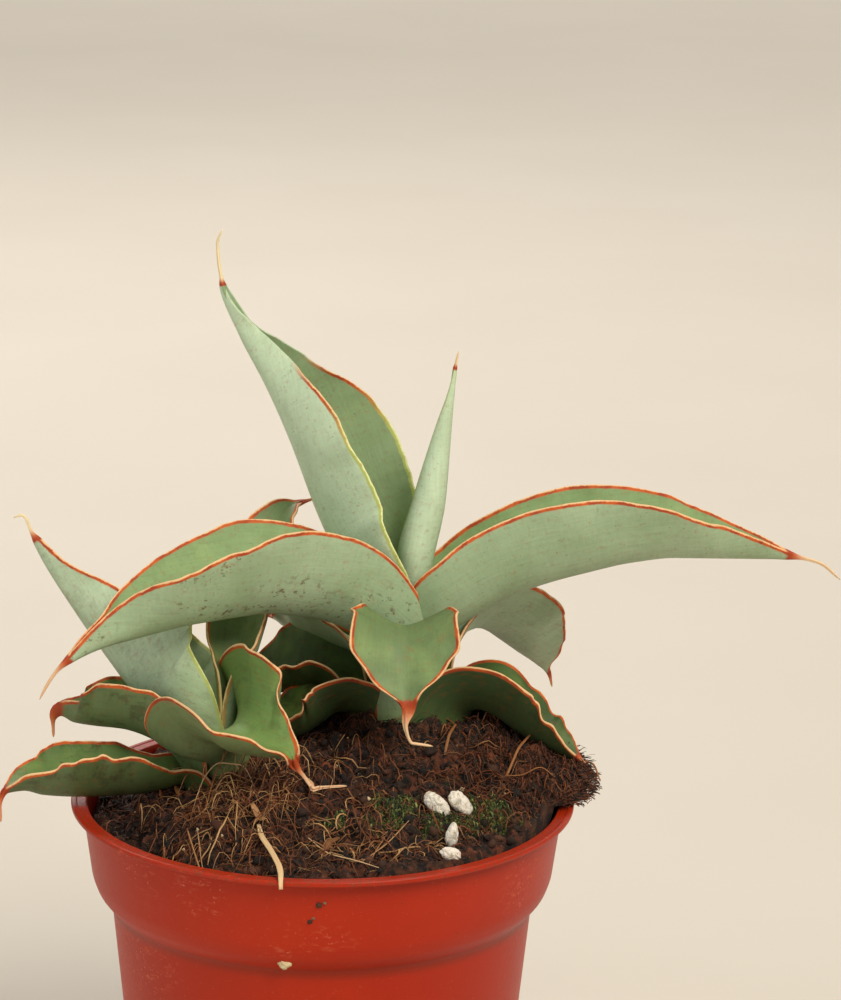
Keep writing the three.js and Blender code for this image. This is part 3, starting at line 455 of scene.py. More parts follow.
    "pupTall": dict(
        crown="pup", azimuth=158, sheath=0.14,
        path=[[3.7, 0], [3.7, 7], [7, 11.4], [13.8, 15], [18.2, 18.2], [22.6, 23], [29.8, 31.8],
              [36, 40.2], [38.8, 45], [40.4, 48], [42, 47.4]],
        width=[[0, 15], [0.12, 17], [0.3, 40], [0.42, 42.5], [0.5, 37.5], [0.6, 27], [0.68, 20],
               [0.76, 13], [0.84, 7], [0.9, 3.5], [0.94, 1.8], [1, 1]],
        fold=[[0.3, 82], [0.5, 76], [0.7, 68], [0.85, 60], [1, 70]],
        twist=[[0, 0], [0.12, 0], [0.3, -26], [0.6, -38], [1, -38]],
        phase=1.5, dry=[0.89, 1.0], bloom=0.78, deep=0.5,
        blush=[[0, 0], [0.35, 0.1], [0.6, 0.9], [1, 1]], cream=1.0, hem=0.3, scars=0.3, dirt=0.3,
    ),
    "pupFront": dict(
        crown="pup", azimuth=305, sheath=0.18,
        path=[[5.2, 0], [5.2, 8], [6.6, 12.4, -1.6], [9.4, 15, -3], [13.4, 15.6, -3.6],
              [17.4, 15, -2.8], [20.4, 14.8, -1.4], [22, 14.6, -0.2], [23.1, 11.5, 1.5],
              [24.9, 8.6, 3.3], [26.9, 8.6, 8.7]],
        width=[[0, 18], [0.18, 22], [0.34, 36], [0.42, 36], [0.52, 31], [0.6, 22], [0.66, 13], [0.7, 6],
               [0.74, 2.4], [1, 1]],
        fold=[[0.3, 96], [0.44, 91], [0.55, 82], [0.65, 78], [1, 60]],
        keel=[[0, 0], [0.2, 0.1], [0.45, 0.4], [1, 0.5]],
        twist=[[0, 0], [0.15, 0], [0.35, -22], [1, -20]],
        skin=[[0, 1.05], [0.2, 1.3], [0.45, 2.4], [0.7, 1.6], [1, 0.8]],
        wave=0.6, waves=6, phase=0.5, dry=[0.705, 0.95], bloom=0.42, deep=0.1, cream=0.6, hem=0.55,
        scars=0.4, dirt=0.35,
    ),
    "pupBackLeft": dict(
        crown="pup", azimuth=178, sheath=0.1,
        path=[[6.6, 0], [6.6, 3], [8.4, 7.4], [12.1, 10.8], [18.3, 13], [23, 13.4], [27, 14], [29, 15],
              [30, 14], [30.2, 11]],
        width=[[0, 13], [0.1, 14], [0.35, 24], [0.6, 24], [0.74, 20.5], [0.82, 15], [0.88, 6.5],
               [0.92, 2.4], [1, 1]],
        fold=[[0.35, 70], [0.6, 70], [0.8, 64], [1, 70]],
        twist=[[0, 0], [0.3, -12], [1, -12]],
        skin=[[0, 1.05], [0.2, 1.2], [0.45, 2.2], [0.8, 1.5], [1, 0.8]],
        phase=1.9, dry=[0.86, 1.05], bloom=0.3, deep=0.55, hem=0.45, scars=0.3, dirt=0.7,
    ),
    "pupLowLeft": dict(
        crown="pup", azimuth=200, sheath=0.08,
        path=[[7, 0], [7, 2.4], [8.4, 4], [11, 3.4], [16.4, 2.9], [25.8, 3.4], [33.4, 4.5], [37, 5.6],
              [39.5, 5.4], [40.5, 2.9], [40.5, 0.1]],
        width=[[0, 14], [0.1, 15], [0.35, 25], [0.6, 25], [0.75, 17], [0.83, 8], [0.88, 2.4], [1, 1]],
        fold=[[0.3, 66], [0.6, 62], [0.8, 54], [1, 70]],
        twist=[[0, 0], [0.3, -8], [1, -8]],
        skin=[[0, 1.05], [0.2, 1.2], [0.45, 2.4], [0.8, 1.6], [1, 0.8]],
        wave=0.32, phase=0.8, dry=[0.86, 1.05], bloom=0.15, deep=0.7, hem=0.5, scars=0.3, dirt=0.8,
    ),
}


def keelFrames(leaf, share):
    # the keel is a smooth curve through the path's stops, by share of their chords' length. At
    # each station the leaf's direction is the step between two near points, inward is square to it,
    # toward the crown or up, across is square to both, and the twist rolls these two
    turn = math.radians(leaf["azimuth"])
    outward = np.array([math.cos(turn), math.sin(turn), 0])
    left = np.array([-math.sin(turn), math.cos(turn), 0])
    upward = np.array([0, 0, 1.0])
    path = np.array([(*stop, 0)[:3] for stop in leaf["path"]], float)
    chord = np.concatenate([[0], np.cumsum(np.linalg.norm(np.diff(path, axis=0), axis=1))])
    length = chord[-1]
    chord = chord / length

    def pointAt(where):
        reach, height, swerve = (
            throughKnots(np.column_stack([chord, path[:, k]]), where)[:, None] for k in range(3))
        return np.array(crowns[leaf["crown"]]) + outward * reach + left * swerve + upward * height

    reach = leafMake["tangentReach"]
    along = unit(pointAt(np.minimum(1, share + reach)) - pointAt(np.maximum(0, share - reach)))
    inward = -outward * along[:, 2:] + upward * (along @ outward)[:, None]
    inward = unit(inward - along * np.sum(inward * along, axis=1, keepdims=True))
    across = np.cross(inward, along)
    roll = np.radians(throughKnots(leaf["twist"], share))[:, None]
    turnedIn = inward * np.cos(roll) + across * np.sin(roll)
    turnedAcross = across * np.cos(roll) - inward * np.sin(roll)
    return pointAt(share), along, turnedIn, turnedAcross, length


def bladeSections(width, fold, keel):
    # half a section, from the keel to the margin: its direction turns from flat to the fold's
    # angle, and the steps along that direction are added up. Returns places and directions.
    columns, steps = leafMake["halfColumns"], leafMake["subSteps"]
    sharp = leafMake["keelSharpness"]
    heading = lambda v: fold[:, None] * (
        (1 - keel[:, None]) * v + keel[:, None] * np.tanh(sharp * v) / np.tanh(sharp))
    v = (np.arange(columns * steps) + 0.5) / (columns * steps)
    stride = width[:, None] / 2 / (columns * steps)
    side = np.cumsum(np.cos(heading(v)) * stride, axis=1)[:, steps - 1::steps]
    up = np.cumsum(np.sin(heading(v)) * stride, axis=1)[:, steps - 1::steps]
    turned = heading((np.arange(columns) + 1) / columns)
    none = np.zeros((len(width), 1))
    side, up, turned = (np.hstack([none, part]) for part in (side, up, turned))
    mirror = lambda part, sign: np.hstack([sign * part[:, :0:-1], part])
    return mirror(side, -1), mirror(up, 1), mirror(turned, -1)


def hemRipple(share, length, seed):
    # the margins' fine waves: sines of several wavelengths, swelling and fading on their own
    draw = np.random.RandomState(seed)
    total = np.zeros(len(share))
    for wave, strength in leafMake["hem"]["waves"]:
        phase, slow = draw.rand(2) * turnRound
        swell = 0.6 + 0.4 * np.sin(turnRound * share * length / (5 * wave) + slow)
        total += strength * swell * np.sin(turnRound * share * length / wave + phase)
    return total


def makeLeaf(name, leaf, material, seed):
    # the back is the folded section carried along the keel and rippled toward the margins; the
    # front lies off it by the thickness; half circles join them, and the tip shrinks to a point
    share = np.linspace(0, 1, leafMake["rows"])
    width = throughKnots(leaf["width"], share)
    keel = throughKnots(leaf["keel"], share)
    skin = throughKnots(leaf["skin"], share)
    # in the sheath the blade wraps round the crown's axis
    wrap = [[s, math.degrees(throughKnots(leaf["width"], np.array([s]))[0] / 2 / leaf["path"][0][0])]
            for s in (0, leaf["sheath"])]
    fold = np.radians(throughKnots(wrap + leaf["fold"], share))
    keelLine, along, inward, across, length = keelFrames(leaf, share)
    side, up, heading = bladeSections(width, fold, keel)
    columns = 2 * leafMake["halfColumns"] + 1
    v = np.linspace(-1, 1, columns)[None, :]
    hand = np.sign(v)

    beatOf = leafMake["ripple"]
    swing = easeInOut((share - beatOf["start"]) / beatOf["rise"]) * easeInOut(
        (beatOf["end"] - share) / beatOf["fall"])
    beat = turnRound * leaf["waves"] * share[:, None] * (1 + beatOf["sideBeat"] * hand)
    beat = beat + leaf["phase"] + beatOf["sidePhase"] * hand
    ripple = leaf["wave"] * swing[:, None] * np.abs(v) ** beatOf["gather"] * (
        np.sin(beat) + beatOf["overtone"] * np.sin(beatOf["overtoneBeat"] * beat))
    hem = leafMake["hem"]
    fine = [hemRipple(share, length, seed + k)[:, None] for k in range(4)]
    room = easeInOut((width - hem["fromWidth"]) / hem["overWidth"])[:, None]
    room = room * swing[:, None] * leaf["hem"]
    ripple = ripple + room * np.where(hand > 0, fine[0], fine[1]) * np.abs(v) ** hem["gather"]
    notch = hem["notch"] * room * np.where(hand > 0, fine[2], fine[3]) * np.abs(v) ** hem["notchGather"]

    # directions of the sheet at every point: out past the margin, and into the channel
    lift = lambda part: part[:, :, None]
    outDir = lift(np.cos(heading)) * across[:, None] + lift(np.sin(heading)) * inward[:, None]
    channelDir = lift(-np.sin(heading)) * across[:, None] + lift(np.cos(heading)) * inward[:, None]
    sheet = keelLine[:, None] + lift(side) * across[:, None] + lift(up) * inward[:, None]
    sheet = sheet + lift(notch * hand) * outDir

    edge, rimOf, tip = leafMake["edgeSkin"], leafMake["rim"], leafMake["tip"]
    thick = edge + (np.maximum(skin, edge)[:, None] - edge) * (1 - np.abs(v) ** leafMake["edgeThinning"])
    toMargin = (1 - np.abs(v)) * width[:, None] / 2
    thick = thick + rimOf["rise"] * (1 - easeInOut(toMargin / rimOf["reach"])) * (
        width[:, None] > rimOf["fromWidth"])
    toTip = clamp01((share - 1) / tip["taper"] + 1)
    close = np.sqrt(np.maximum(tip["blunt"], 1 - toTip ** 2))[:, None]
    back = sheet + lift(ripple) * channelDir
    front = sheet + lift(ripple + thick) * channelDir

    def rim(column, sign):
        # three points of a half circle from the back's margin to the front's
        middle = (back[:, column] + front[:, column]) / 2
        half = (front[:, column] - back[:, column]) / 2
        bulge = sign * outDir[:, column] * np.linalg.norm(half, axis=1, keepdims=True)
        angles = [math.radians(angle) for angle in rimOf["angles"]]
        return np.stack([middle + half * math.sin(a) + bulge * math.cos(a) for a in angles], 1)

    loop = np.concatenate([back, rim(-1, 1), front[:, ::-1], rim(0, -1)[:, ::-1]], axis=1)
    centre = loop.mean(axis=1, keepdims=True)
    dry = clamp01((share - leaf["dry"][0]) / (leaf["dry"][1] - leaf["dry"][0]))[:, None]
    shrink = close * (1 - tip["shrink"] * easeInOut(dry * tip["shrinkRate"]))
    loop = centre + (loop - centre) * shrink[:, :, None]
    rows, around = loop.shape[:2]
    points = np.concatenate([loop.reshape(-1, 3), centre[0], centre[-1]])

    def join(onBack, onRight, onFront, onLeft):
        # a value for every point, in the loop's order: back, one rim, front, the other rim
        parts = zip((onBack, onRight, onFront, onLeft), (columns, 3, columns, 3))
        array = np.concatenate([np.broadcast_to(part, (rows, wide)) for part, wide in parts], axis=1)
        return np.concatenate([array.ravel(), array[:1].mean(axis=1), array[-1:].mean(axis=1)])

    same = lambda part: join(part, part, part, part)
    halfWidth = width[:, None] / 2
    rounded = [[-0.2, -0.35, -0.2]]  # the rim's three points lie beyond the margin
    values = {
        "rim": join(toMargin, rounded, toMargin[:, ::-1], rounded),
        "side": join(v, 1.0, -v, -1.0),
        "inner": join(0.0, 0.5, 1.0, 0.5),
        "share": same(share[:, None]),
        "dry": same(dry),
        "grain": np.stack([
            join(v * width[:, None] / 2, halfWidth, v[:, ::-1] * width[:, None] / 2, -halfWidth),
            same(share[:, None] * length), same(seed * 7.3)], -1),  # across, along, its own spot
    }
    for key in ("blush", "line"):
        values[key] = same(throughKnots(leaf[key], share)[:, None])
    for key in ("bloom", "deep", "cream", "scars", "dirt"):
        values[key] = same(float(leaf[key]))
    return makePiece(name + "Leaf", points * mm, closedFaces(rows, around), material,
                     (name,), values)


def leafMaterial(name, screenTints):
    # one green on the back and one on the front, then scars, margins and the withered tip
    m = ShaderMaker(name)
    tints = {key: colour(*rgb) for key, rgb in screenTints.items()}
    grain = m.vector("grain")
    rim, side, inner, share = (m.value(key) for key in ("rim", "side", "inner", "share"))
    dry, blush, bloom, deep = (m.value(key) for key in ("dry", "blush", "bloom", "deep"))
    cream, scars, dirt, drawn = (m.value(key) for key in ("cream", "scars", "dirt", "line"))

    patches = m.noise(grain, 0.11, 3)
    fibres = m.noise(m.stretch(grain, (2.4, 0.16, 1)), 1.0, 3, 0.6)
    bands = m.noise(m.stretch(grain, (0.35, 2.1, 1)), 1.0, 3, 0.6)
    speckle = m.noise(grain, 4.5, 2, 0.6)

    # back: wax bloom over green, a greyer streak along the keel
    wax = bloom * (0.55 + 0.9 * patches)
    # deep darkens the green here and on the front: partly the leaf's own colour, partly painted shade
    backGreen = m.mix(tints["backGreen"], tints["backDeep"], deep)
    back = m.mix(backGreen, tints["wax"], m.maths("MINIMUM", wax, 1.0))
    keelStreak = 1 - m.between(m.maths("ABSOLUTE", side), 0.03, 0.22)
    back = m.mix(back, tints["keelGrey"], keelStreak * (0.5 * patches))
    # front: plain green, yellower in patches
    front = m.mix(tints["frontLight"], tints["frontDeep"], deep)
    front = m.mix(front, tints["frontYellow"], 0.5 * m.between(patches, 0.45, 0.75))
    front = m.mix(front, tints["wax"], 0.32 * m.maths("MINIMUM", wax, 1.0))
    tint = m.mix(back, front, m.between(inner, 0.4, 0.6))
    tint = m.mix(tint, tints["sheath"], 0.55 * (1 - m.between(share, 0.1, 0.3)))
    grainShade = 0.70 + 0.28 * fibres + 0.18 * bands + 0.14 * speckle
    tint = m.shade(tint, grainShade)
    pores = m.between(m.noise(grain, 1.7, 1), 0.70, 0.76)
    tint = m.mix(tint, tints["pore"], 0.28 * pores)

    # brown scars in loose groups, and soil splashed on the low leaves
    spots = m.between(m.noise(grain, 0.85, 4, 0.65), 0.56, 0.66)
    groups = m.between(m.noise(grain, 0.075, 1), 0.42, 0.58)
    tint = m.mix(tint, tints["scar"], 0.7 * spots * groups * scars * (1 - inner))
    smear = m.between(m.noise(grain, 0.32, 5, 0.7), 0.50, 0.66)
    tint = m.mix(tint, tints["dirt"], 0.6 * smear * dirt)

    # margins: an orange line along both faces and a cream rim, patchy where it is old
    wobble = m.noise(grain, 0.9, 3, 0.7) - 0.5
    line = drawn * (1 - m.between(rim + 0.5 * wobble, 0.36, 0.66))
    lineTint = m.mix(tints["orange"], tints["rust"], m.between(m.noise(grain, 0.5, 2), 0.4, 0.62))
    lineTint = m.mix(tints["limeRim"], lineTint, m.between(blush, 0.0, 0.75))
    tint = m.mix(tint, lineTint, line)
    rimWobble = m.noise(grain, 0.45, 3, 0.7)
    pale = drawn * (1 - m.between(rim + 0.9 * (rimWobble - 0.5), -0.2, 0.1))
    paleTint = m.mix(tints["limePale"], tints["creamRim"], m.between(blush, 0.0, 0.75))
    tint = m.mix(tint, paleTint, pale)

    # withered tip: rust, then orange, then cream
    fresh = dry + 0.10 * wobble
    tip = m.mix(tints["rust"], tints["orange"], m.between(fresh, 0.05, 0.3))
    tip = m.mix(tip, tints["tipCream"], cream * m.between(fresh, 0.12, 0.45))
    tip = m.shade(tip, 0.8 + 0.4 * fibres)
    tint = m.mix(tint, tip, m.between(fresh, 0.0, 0.06))

    height = 0.5 * fibres + 0.25 * bands + 0.3 * speckle + 0.8 * line * wobble
    roughness = 0.5 + 0.14 * speckle + 0.12 * line
    return m.finish(tint, roughness, height, 0.35, 0.00018,
                    IOR=1.42, Subsurface_Weight=0.06, Subsurface_Scale=0.0015)


leafTints = dict(
    wax=(194, 214, 180), backGreen=(112, 142, 84), backDeep=(66, 88, 44), keelGrey=(104, 110, 84),
    frontLight=(118, 148, 80), frontDeep=(80, 104, 50), frontYellow=(134, 158, 80),
    sheath=(150, 174, 98), pore=(70, 84, 46), scar=(94, 64, 38), dirt=(52, 36, 22),
    orange=(198, 88, 30), rust=(164, 62, 25), creamRim=(230, 188, 136), tipCream=(242, 218, 172),
    limeRim=(182, 194, 108), limePale=(226, 230, 162),
)
# the low leaves get a darker copy of the skin: a deeper, plainer green, partly their own colour
# and partly painted shade for where they sit low under the rosette
lowDeepAndShadedTints = dict(
    leafTints, wax=(150, 166, 120), backGreen=(92, 116, 58), backDeep=(48, 68, 30),
    frontLight=(112, 146, 70), frontDeep=(56, 82, 34), frontYellow=(124, 152, 70),
    sheath=(96, 124, 58),
)
lowLeaves = ("mainLowRight", "mainLowLeft", "mainBackLeftLow", "pupFront", "pupBackLeft", "pupLowLeft")

leafSkin = leafMaterial("leafSkin", leafTints)
lowDeepAndShadedSkin = leafMaterial("lowDeepAndShadedSkin", lowDeepAndShadedTints)
for number, (name, leaf) in enumerate(leaves.items()):
    # the low leaves take the darker copy, which is partly painted shade
    low = name in lowLeaves
    makeLeaf(name, {**leafUsual, **leaf}, lowDeepAndShadedSkin if low else leafSkin,
             seed=11 + number * 5)
print("leaves made:", len(leaves))


# pot: thin moulded plastic, turned from one profile, with drain holes cut in its floor

potShape = dict(
    height=78, lipRadius=45, lipThickness=0.9, bandRadius=42.9, bandHeight=13.6, bandTaper=1.6,
    waistRadius=37.8, waistDepth=19.5, baseRadius=32, baseChamfer=0.8, wall=0.9, floor=1.2,
    collarDepth=4, collarLean=0.3,  # the upright top of the band, and how much it leans
    lipFlat=0.9, mouthStep=0.18,  # the lip's flat top, and the step down to the mouth
    shoulderOutside=[[-0.1, -0.6], [0.3, 0.9], [1.3, 1.9], [2.6, 3.5]],  # out and up from the waist
    shoulderInside=[[2.6, 4.1], [1.3, 2.7], [0, 1], [-0.2, -0.8]],
    sides=240, drainHoles=6, drainRadius=3.2, drainCircle=21, drainSides=40, drillOver=2,
)


def roundedProfile(corners):
    # a profile of [radius, height, rounding]: each corner becomes a short quadratic curve
    # between the points at the rounding's distance on both sides of it
    corners = np.array(corners, float)
    places = corners[:, :2]
    out = [places[:1]]
    t = np.linspace(0, 1, 5)[:, None]
    for i in range(1, len(places) - 1):
        here, reach = places[i], corners[i, 2]
        toBack, toNext = places[i - 1] - here, places[i + 1] - here
        a = here + toBack / np.linalg.norm(toBack) * min(reach, np.linalg.norm(toBack) * 0.45)
        b = here + toNext / np.linalg.norm(toNext) * min(reach, np.linalg.norm(toNext) * 0.45)
        out.append(a * (1 - t) ** 2 + 2 * here * t * (1 - t) + b * t * t)
    out.append(places[-1:])
    return np.concatenate(out)


def potProfile():
    # corners as [radius, height, rounding], from the floor's middle underneath, up the outside,
    # over the lip and down the inside to the floor's middle again, and the curve through them
    p = potShape
    top, lip = p["height"], p["height"] - p["lipThickness"]
    waist, bandFoot, collar = top - p["waistDepth"], top - p["bandHeight"], top - p["collarDepth"]
    band, wall, mouth = p["bandRadius"], p["wall"], top - p["mouthStep"]
    flatEdge = p["lipRadius"] - p["lipFlat"]
    onWaist = lambda pair, inset, soft: [p["waistRadius"] + pair[0] - inset, waist + pair[1], soft]
    outside = [
        [0, 0, 0], [p["baseRadius"] - p["baseChamfer"], 0, 0.6], [p["baseRadius"], p["baseChamfer"], 0.6],
        *[onWaist(pair, 0, 0.7) for pair in p["shoulderOutside"]],
        [band - p["bandTaper"], bandFoot, 0.9], [band - p["collarLean"], collar, 2],
        [band, lip - 0.5, 0.4], [band + 0.5, lip, 0.3],
        [p["lipRadius"], lip, 0.3], [p["lipRadius"], top, 0.35],
    ]
    inside = [
        [flatEdge, top, 0.15], [flatEdge - 0.15, mouth, 0.12], [band - wall + 0.3, mouth, 0.25],
        [band - wall, lip, 0.3], [band - p["collarLean"] - wall, collar, 1],
        [band - p["bandTaper"] - wall, bandFoot, 0.8],
        *[onWaist(pair, wall, 0.6) for pair in p["shoulderInside"]],
        [p["baseRadius"] - wall, p["floor"], 0.6], [0, p["floor"], 0],
    ]
    return roundedProfile(outside + inside)


def makeDrill():
    # one upright round bar for every drain hole, evenly round the floor's middle
    p = potShape
    sides = p["drainSides"]
    around = np.linspace(0, turnRound, sides, endpoint=False)
    spots = (np.arange(p["drainHoles"]) + 0.5) * turnRound / p["drainHoles"]
    corners, faces = [], []
    for n, spot in enumerate(spots):
        centre = p["drainCircle"] * np.array([math.cos(spot), math.sin(spot), 0])
        for height in (-p["drillOver"], p["floor"] + p["drillOver"]):
            corners.append(centre + ringPoints(p["drainRadius"], height, around))
        low = n * 2 * sides + np.arange(sides)
        wall = np.column_stack([low, np.roll(low, -1), np.roll(low, -1) + sides, low + sides])
        faces += [*wall.tolist(), low[::-1].tolist(), (low + sides).tolist()]
    mesh = bpy.data.meshes.new("drill")
    mesh.from_pydata((np.concatenate(corners) * mm).tolist(), [], faces)
    drill = bpy.data.objects.new("drill", mesh)
    bpy.context.scene.collection.objects.link(drill)
    return drill


def makePot(material):
    # the profile turned round the upright axis, then drilled
    turn = np.linspace(0, turnRound, potShape["sides"], endpoint=False)
    profile = potProfile()
    ring = ringPoints(profile[1:-1, 0][:, None], profile[1:-1, 1][:, None], turn)
    points = np.concatenate([ring.reshape(-1, 3), [[0, 0, 0], [0, 0, potShape["floor"]]]])
    faces = closedFaces(len(ring), potShape["sides"])
    pot = makePiece("moulded_pot", points * mm, faces, material, ("pot",))
    drill = makeDrill()
    cut = pot.modifiers.new("drain", "BOOLEAN")
    cut.operation, cut.object, cut.solver = "DIFFERENCE", drill, "EXACT"
    shaped = bpy.data.meshes.new_from_object(pot.evaluated_get(bpy.context.evaluated_depsgraph_get()))
    pot.modifiers.clear()
    pot.data = shaped
    bpy.data.objects.remove(drill)
    shaped.shade_smooth()
    return pot


# where the wall is rubbed pale: a place on it and how far the rubbing reaches, in millimetres
potScuffs = [((35.4, -23.0, 71), 8.0), ((38.0, -19.0, 75), 6.0), ((-20.0, -37.6, 73), 7.0)]


def potMaterial():
    # orange-red plastic: two tones in broad patches, chalky scuffs, dust, dark specks, and painted shade
    # under the shoulder
    m = ShaderMaker("potPlastic")
    place = m.place()
    broad = m.noise(place, 0.03, 3)
    fine = m.noise(place, 1.4, 4, 0.6)
    tint = m.mix(colour(152, 26, 0), colour(182, 44, 2), broad)
    # chalky scuffs, streaked round the wall
    streaks = m.noise(m.stretch(place, (0.5, 0.5, 1.3)), 0.9, 5, 0.7)
    areas = m.between(m.noise(place, 0.05, 2), 0.5, 0.66)
    for spot, reach in potScuffs:
        away = m.node("ShaderNodeVectorMath", {"operation": "DISTANCE"}, {0: place, 1: spot}, "Value")
        areas = m.maths("MAXIMUM", areas, 1 - m.between(away, 0.3 * reach, reach))
    scuff = m.between(streaks, 0.52, 0.70) * areas
    tint = m.mix(tint, colour(222, 124, 92), 0.42 * scuff)
    chalk = m.between(m.noise(place, 1.7, 2), 0.66, 0.72) * m.maths("MAXIMUM", areas, 0.15)
    tint = m.mix(tint, colour(226, 150, 120), 0.5 * chalk)
    dust = m.between(fine, 0.6, 0.78)
    tint = m.mix(tint, colour(186, 80, 44), 0.14 * dust)
    specks = m.between(m.noise(place, 2.3, 1), 0.755, 0.79)
    tint = m.mix(tint, colour(84, 40, 22), 0.8 * specks)
    height = m.node("ShaderNodeSeparateXYZ", {}, {0: place}, "Z")
    # soil dust on the lip, and painted shade in a darker band under the shoulder
    top, waist = potShape["height"], potShape["height"] - potShape["waistDepth"]
    under = m.between(height, waist - 1.5, waist + 0.5)
    under = under * (1 - m.between(height, waist + 0.7, waist + 2.1))
    onLip = m.between(height, top - 1.4, top - 0.2)
    # painted shade: a darker red band under the shoulder, where the wall turns in below the band
    tint = m.mix(tint, colour(110, 38, 18), 0.45 * under)
    tint = m.mix(tint, colour(122, 58, 34), onLip * m.between(fine, 0.5, 0.62) * 0.75)
    roughness = 0.34 + 0.24 * scuff + 0.16 * fine + 0.1 * dust
    relief = 0.6 * m.noise(place, 0.16, 2) + 0.25 * fine + 0.2 * scuff
    return m.finish(tint, roughness, relief, 0.12, 0.0004, IOR=1.5,
                    Specular_IOR_Level=0.26, Subsurface_Weight=0.04, Subsurface_Scale=0.002)


makePot(potMaterial())
print("pot made")


# soil: a peaty root ball heaped over the rim, with a clump leaning over the lip at the right

soilShape = dict(
    edgeHeight=76.4, edgeRadius=40.9, lump=0.8, settle=0.55, mossRise=0.7,
    # x, y, rise and spread of every heap
    heaps=[(16, 12, 14, 17), (-8, -9, 5.2, 12), (40, 6, 4, 9), (12, -24, 2.4, 12),
           (3.5, 15, 2.6, 3.4)],
    clump=dict(x=40, y=6, reach=8.8, breadth=13.2, height=4.6, bottom=78.5, edge=0.3),
    ragged=[(0.7, 2.6, 12), (0.6, 1.1, 13)], raggedOffset=-0.6,  # strength, size, seed
    hollow=dict(turn=212, width=26, inner=30, ease=7, depth=5.5),  # the gap at the left of the rim
    wall=[(36.6, -0.5), (39.4, 4.4)],  # the ball's side: radius, height over the pot's waist
    bandSide=40.1,  # its radius at the band's foot
    upperSide=(40.7, 73.0),  # radius and height
    brim=(73.6, 1.2),  # where its side ends inside the pot, and how far the last rings rise
    clear=0.3,  # off the pot's floor and wall
    rings=130, sectors=460,
    gather=0.85, roundOver=0.035,  # how the rings crowd toward the edge, and its rounding
)

# moss patches: middle, spread both ways, how full
mossPatches = [(14, -19, 4.5, 3.6, 1.0), (22, -22.5, 4.5, 3.5, 0.9), (30.5, -14.5, 4.2, 3.6, 0.95),
               (10.5, -25, 2.6, 2.4, 0.75), (3, -24, 2.2, 1.8, 0.6)]


def baseHeight(x, y):
    # the soil's broad form: an edge height, rounded heaps and slow lumps
    s = soilShape
    height = np.full(np.shape(x), float(s["edgeHeight"]))
    for hx, hy, rise, spread in s["heaps"]:
        height = height + rise * np.exp(-0.5 * ((x - hx) ** 2 + (y - hy) ** 2) / spread ** 2)
    lumps = np.sin(0.55 * x + 1.3) * np.sin(0.62 * y + 0.4) + 0.6 * np.sin(0.93 * x - 0.71 * y)
    return height + s["lump"] * lumps


def mossCover(x, y):
    # 0 to 1: how thickly moss grows there, in patches that fray into the soil
    cover = np.zeros(np.shape(x))
    for mx, my, spreadX, spreadY, full in mossPatches:
        cover = np.maximum(cover, full * np.exp(
            -0.5 * (((x - mx) / spreadX) ** 2 + ((y - my) / spreadY) ** 2)))
    return clamp01(1.5 * (cover - 0.3 + 0.28 * cloud(x, y, 2.3, 31) + 0.16 * cloud(x, y, 1.0, 32)))


def soilRelief(x, y):
    # clods with gaps between them, and two finer sizes of crumb
    clods = 1 - 2 * np.abs(cloud(x, y, 3.6, 3)) + 0.8 - 1.6 * np.abs(cloud(x, y, 1.9, 5))
    return 0.9 * clods + 0.5 * cloud(x, y, 1.0, 8) + 0.25 * cloud(x, y, 0.5, 9)


def soilTop(x, y):
    # the broad form, the clump's half ellipsoid where it is higher, less the hollow, and with
    # the relief and the moss on it
    s, c, h = soilShape, soilShape["clump"], soilShape["hollow"]
    height = baseHeight(x, y)
    dome = 1 - ((x - c["x"]) / c["reach"]) ** 2 - ((y - c["y"]) / c["breadth"]) ** 2
    height = np.where(dome > 0, np.maximum(height, c["bottom"] + c["height"] * np.sqrt(
        np.maximum(dome, 0))), height)
    radius = np.hypot(x, y)
    turn = np.degrees(np.arctan2(y, x)) % 360
    gap = np.exp(-0.5 * ((turn - h["turn"]) / h["width"]) ** 2)
    gap = gap * easeInOut((radius - h["inner"]) / h["ease"])
    moss = s["mossRise"] * mossCover(x, y)
    return height - h["depth"] * gap + soilRelief(x, y) - s["settle"] + moss


def soilReach(turn):
    # how far out the soil comes at each turn: the pot's inner wall, or the clump's ellipse
    c = soilShape["clump"]
    edge = np.full(np.shape(turn), float(soilShape["edgeRadius"]))
    dx, dy = np.cos(turn) / c["reach"], np.sin(turn) / c["breadth"]
    px, py = c["x"] / c["reach"], c["y"] / c["breadth"]
    half = dx * px + dy * py
    inside = half ** 2 - (dx * dx + dy * dy) * (px * px + py * py - 1)
    out = (half + np.sqrt(np.maximum(inside, 0))) / (dx * dx + dy * dy)
    return np.where(inside > 0, np.maximum(edge, out * (inside > 0)), edge)


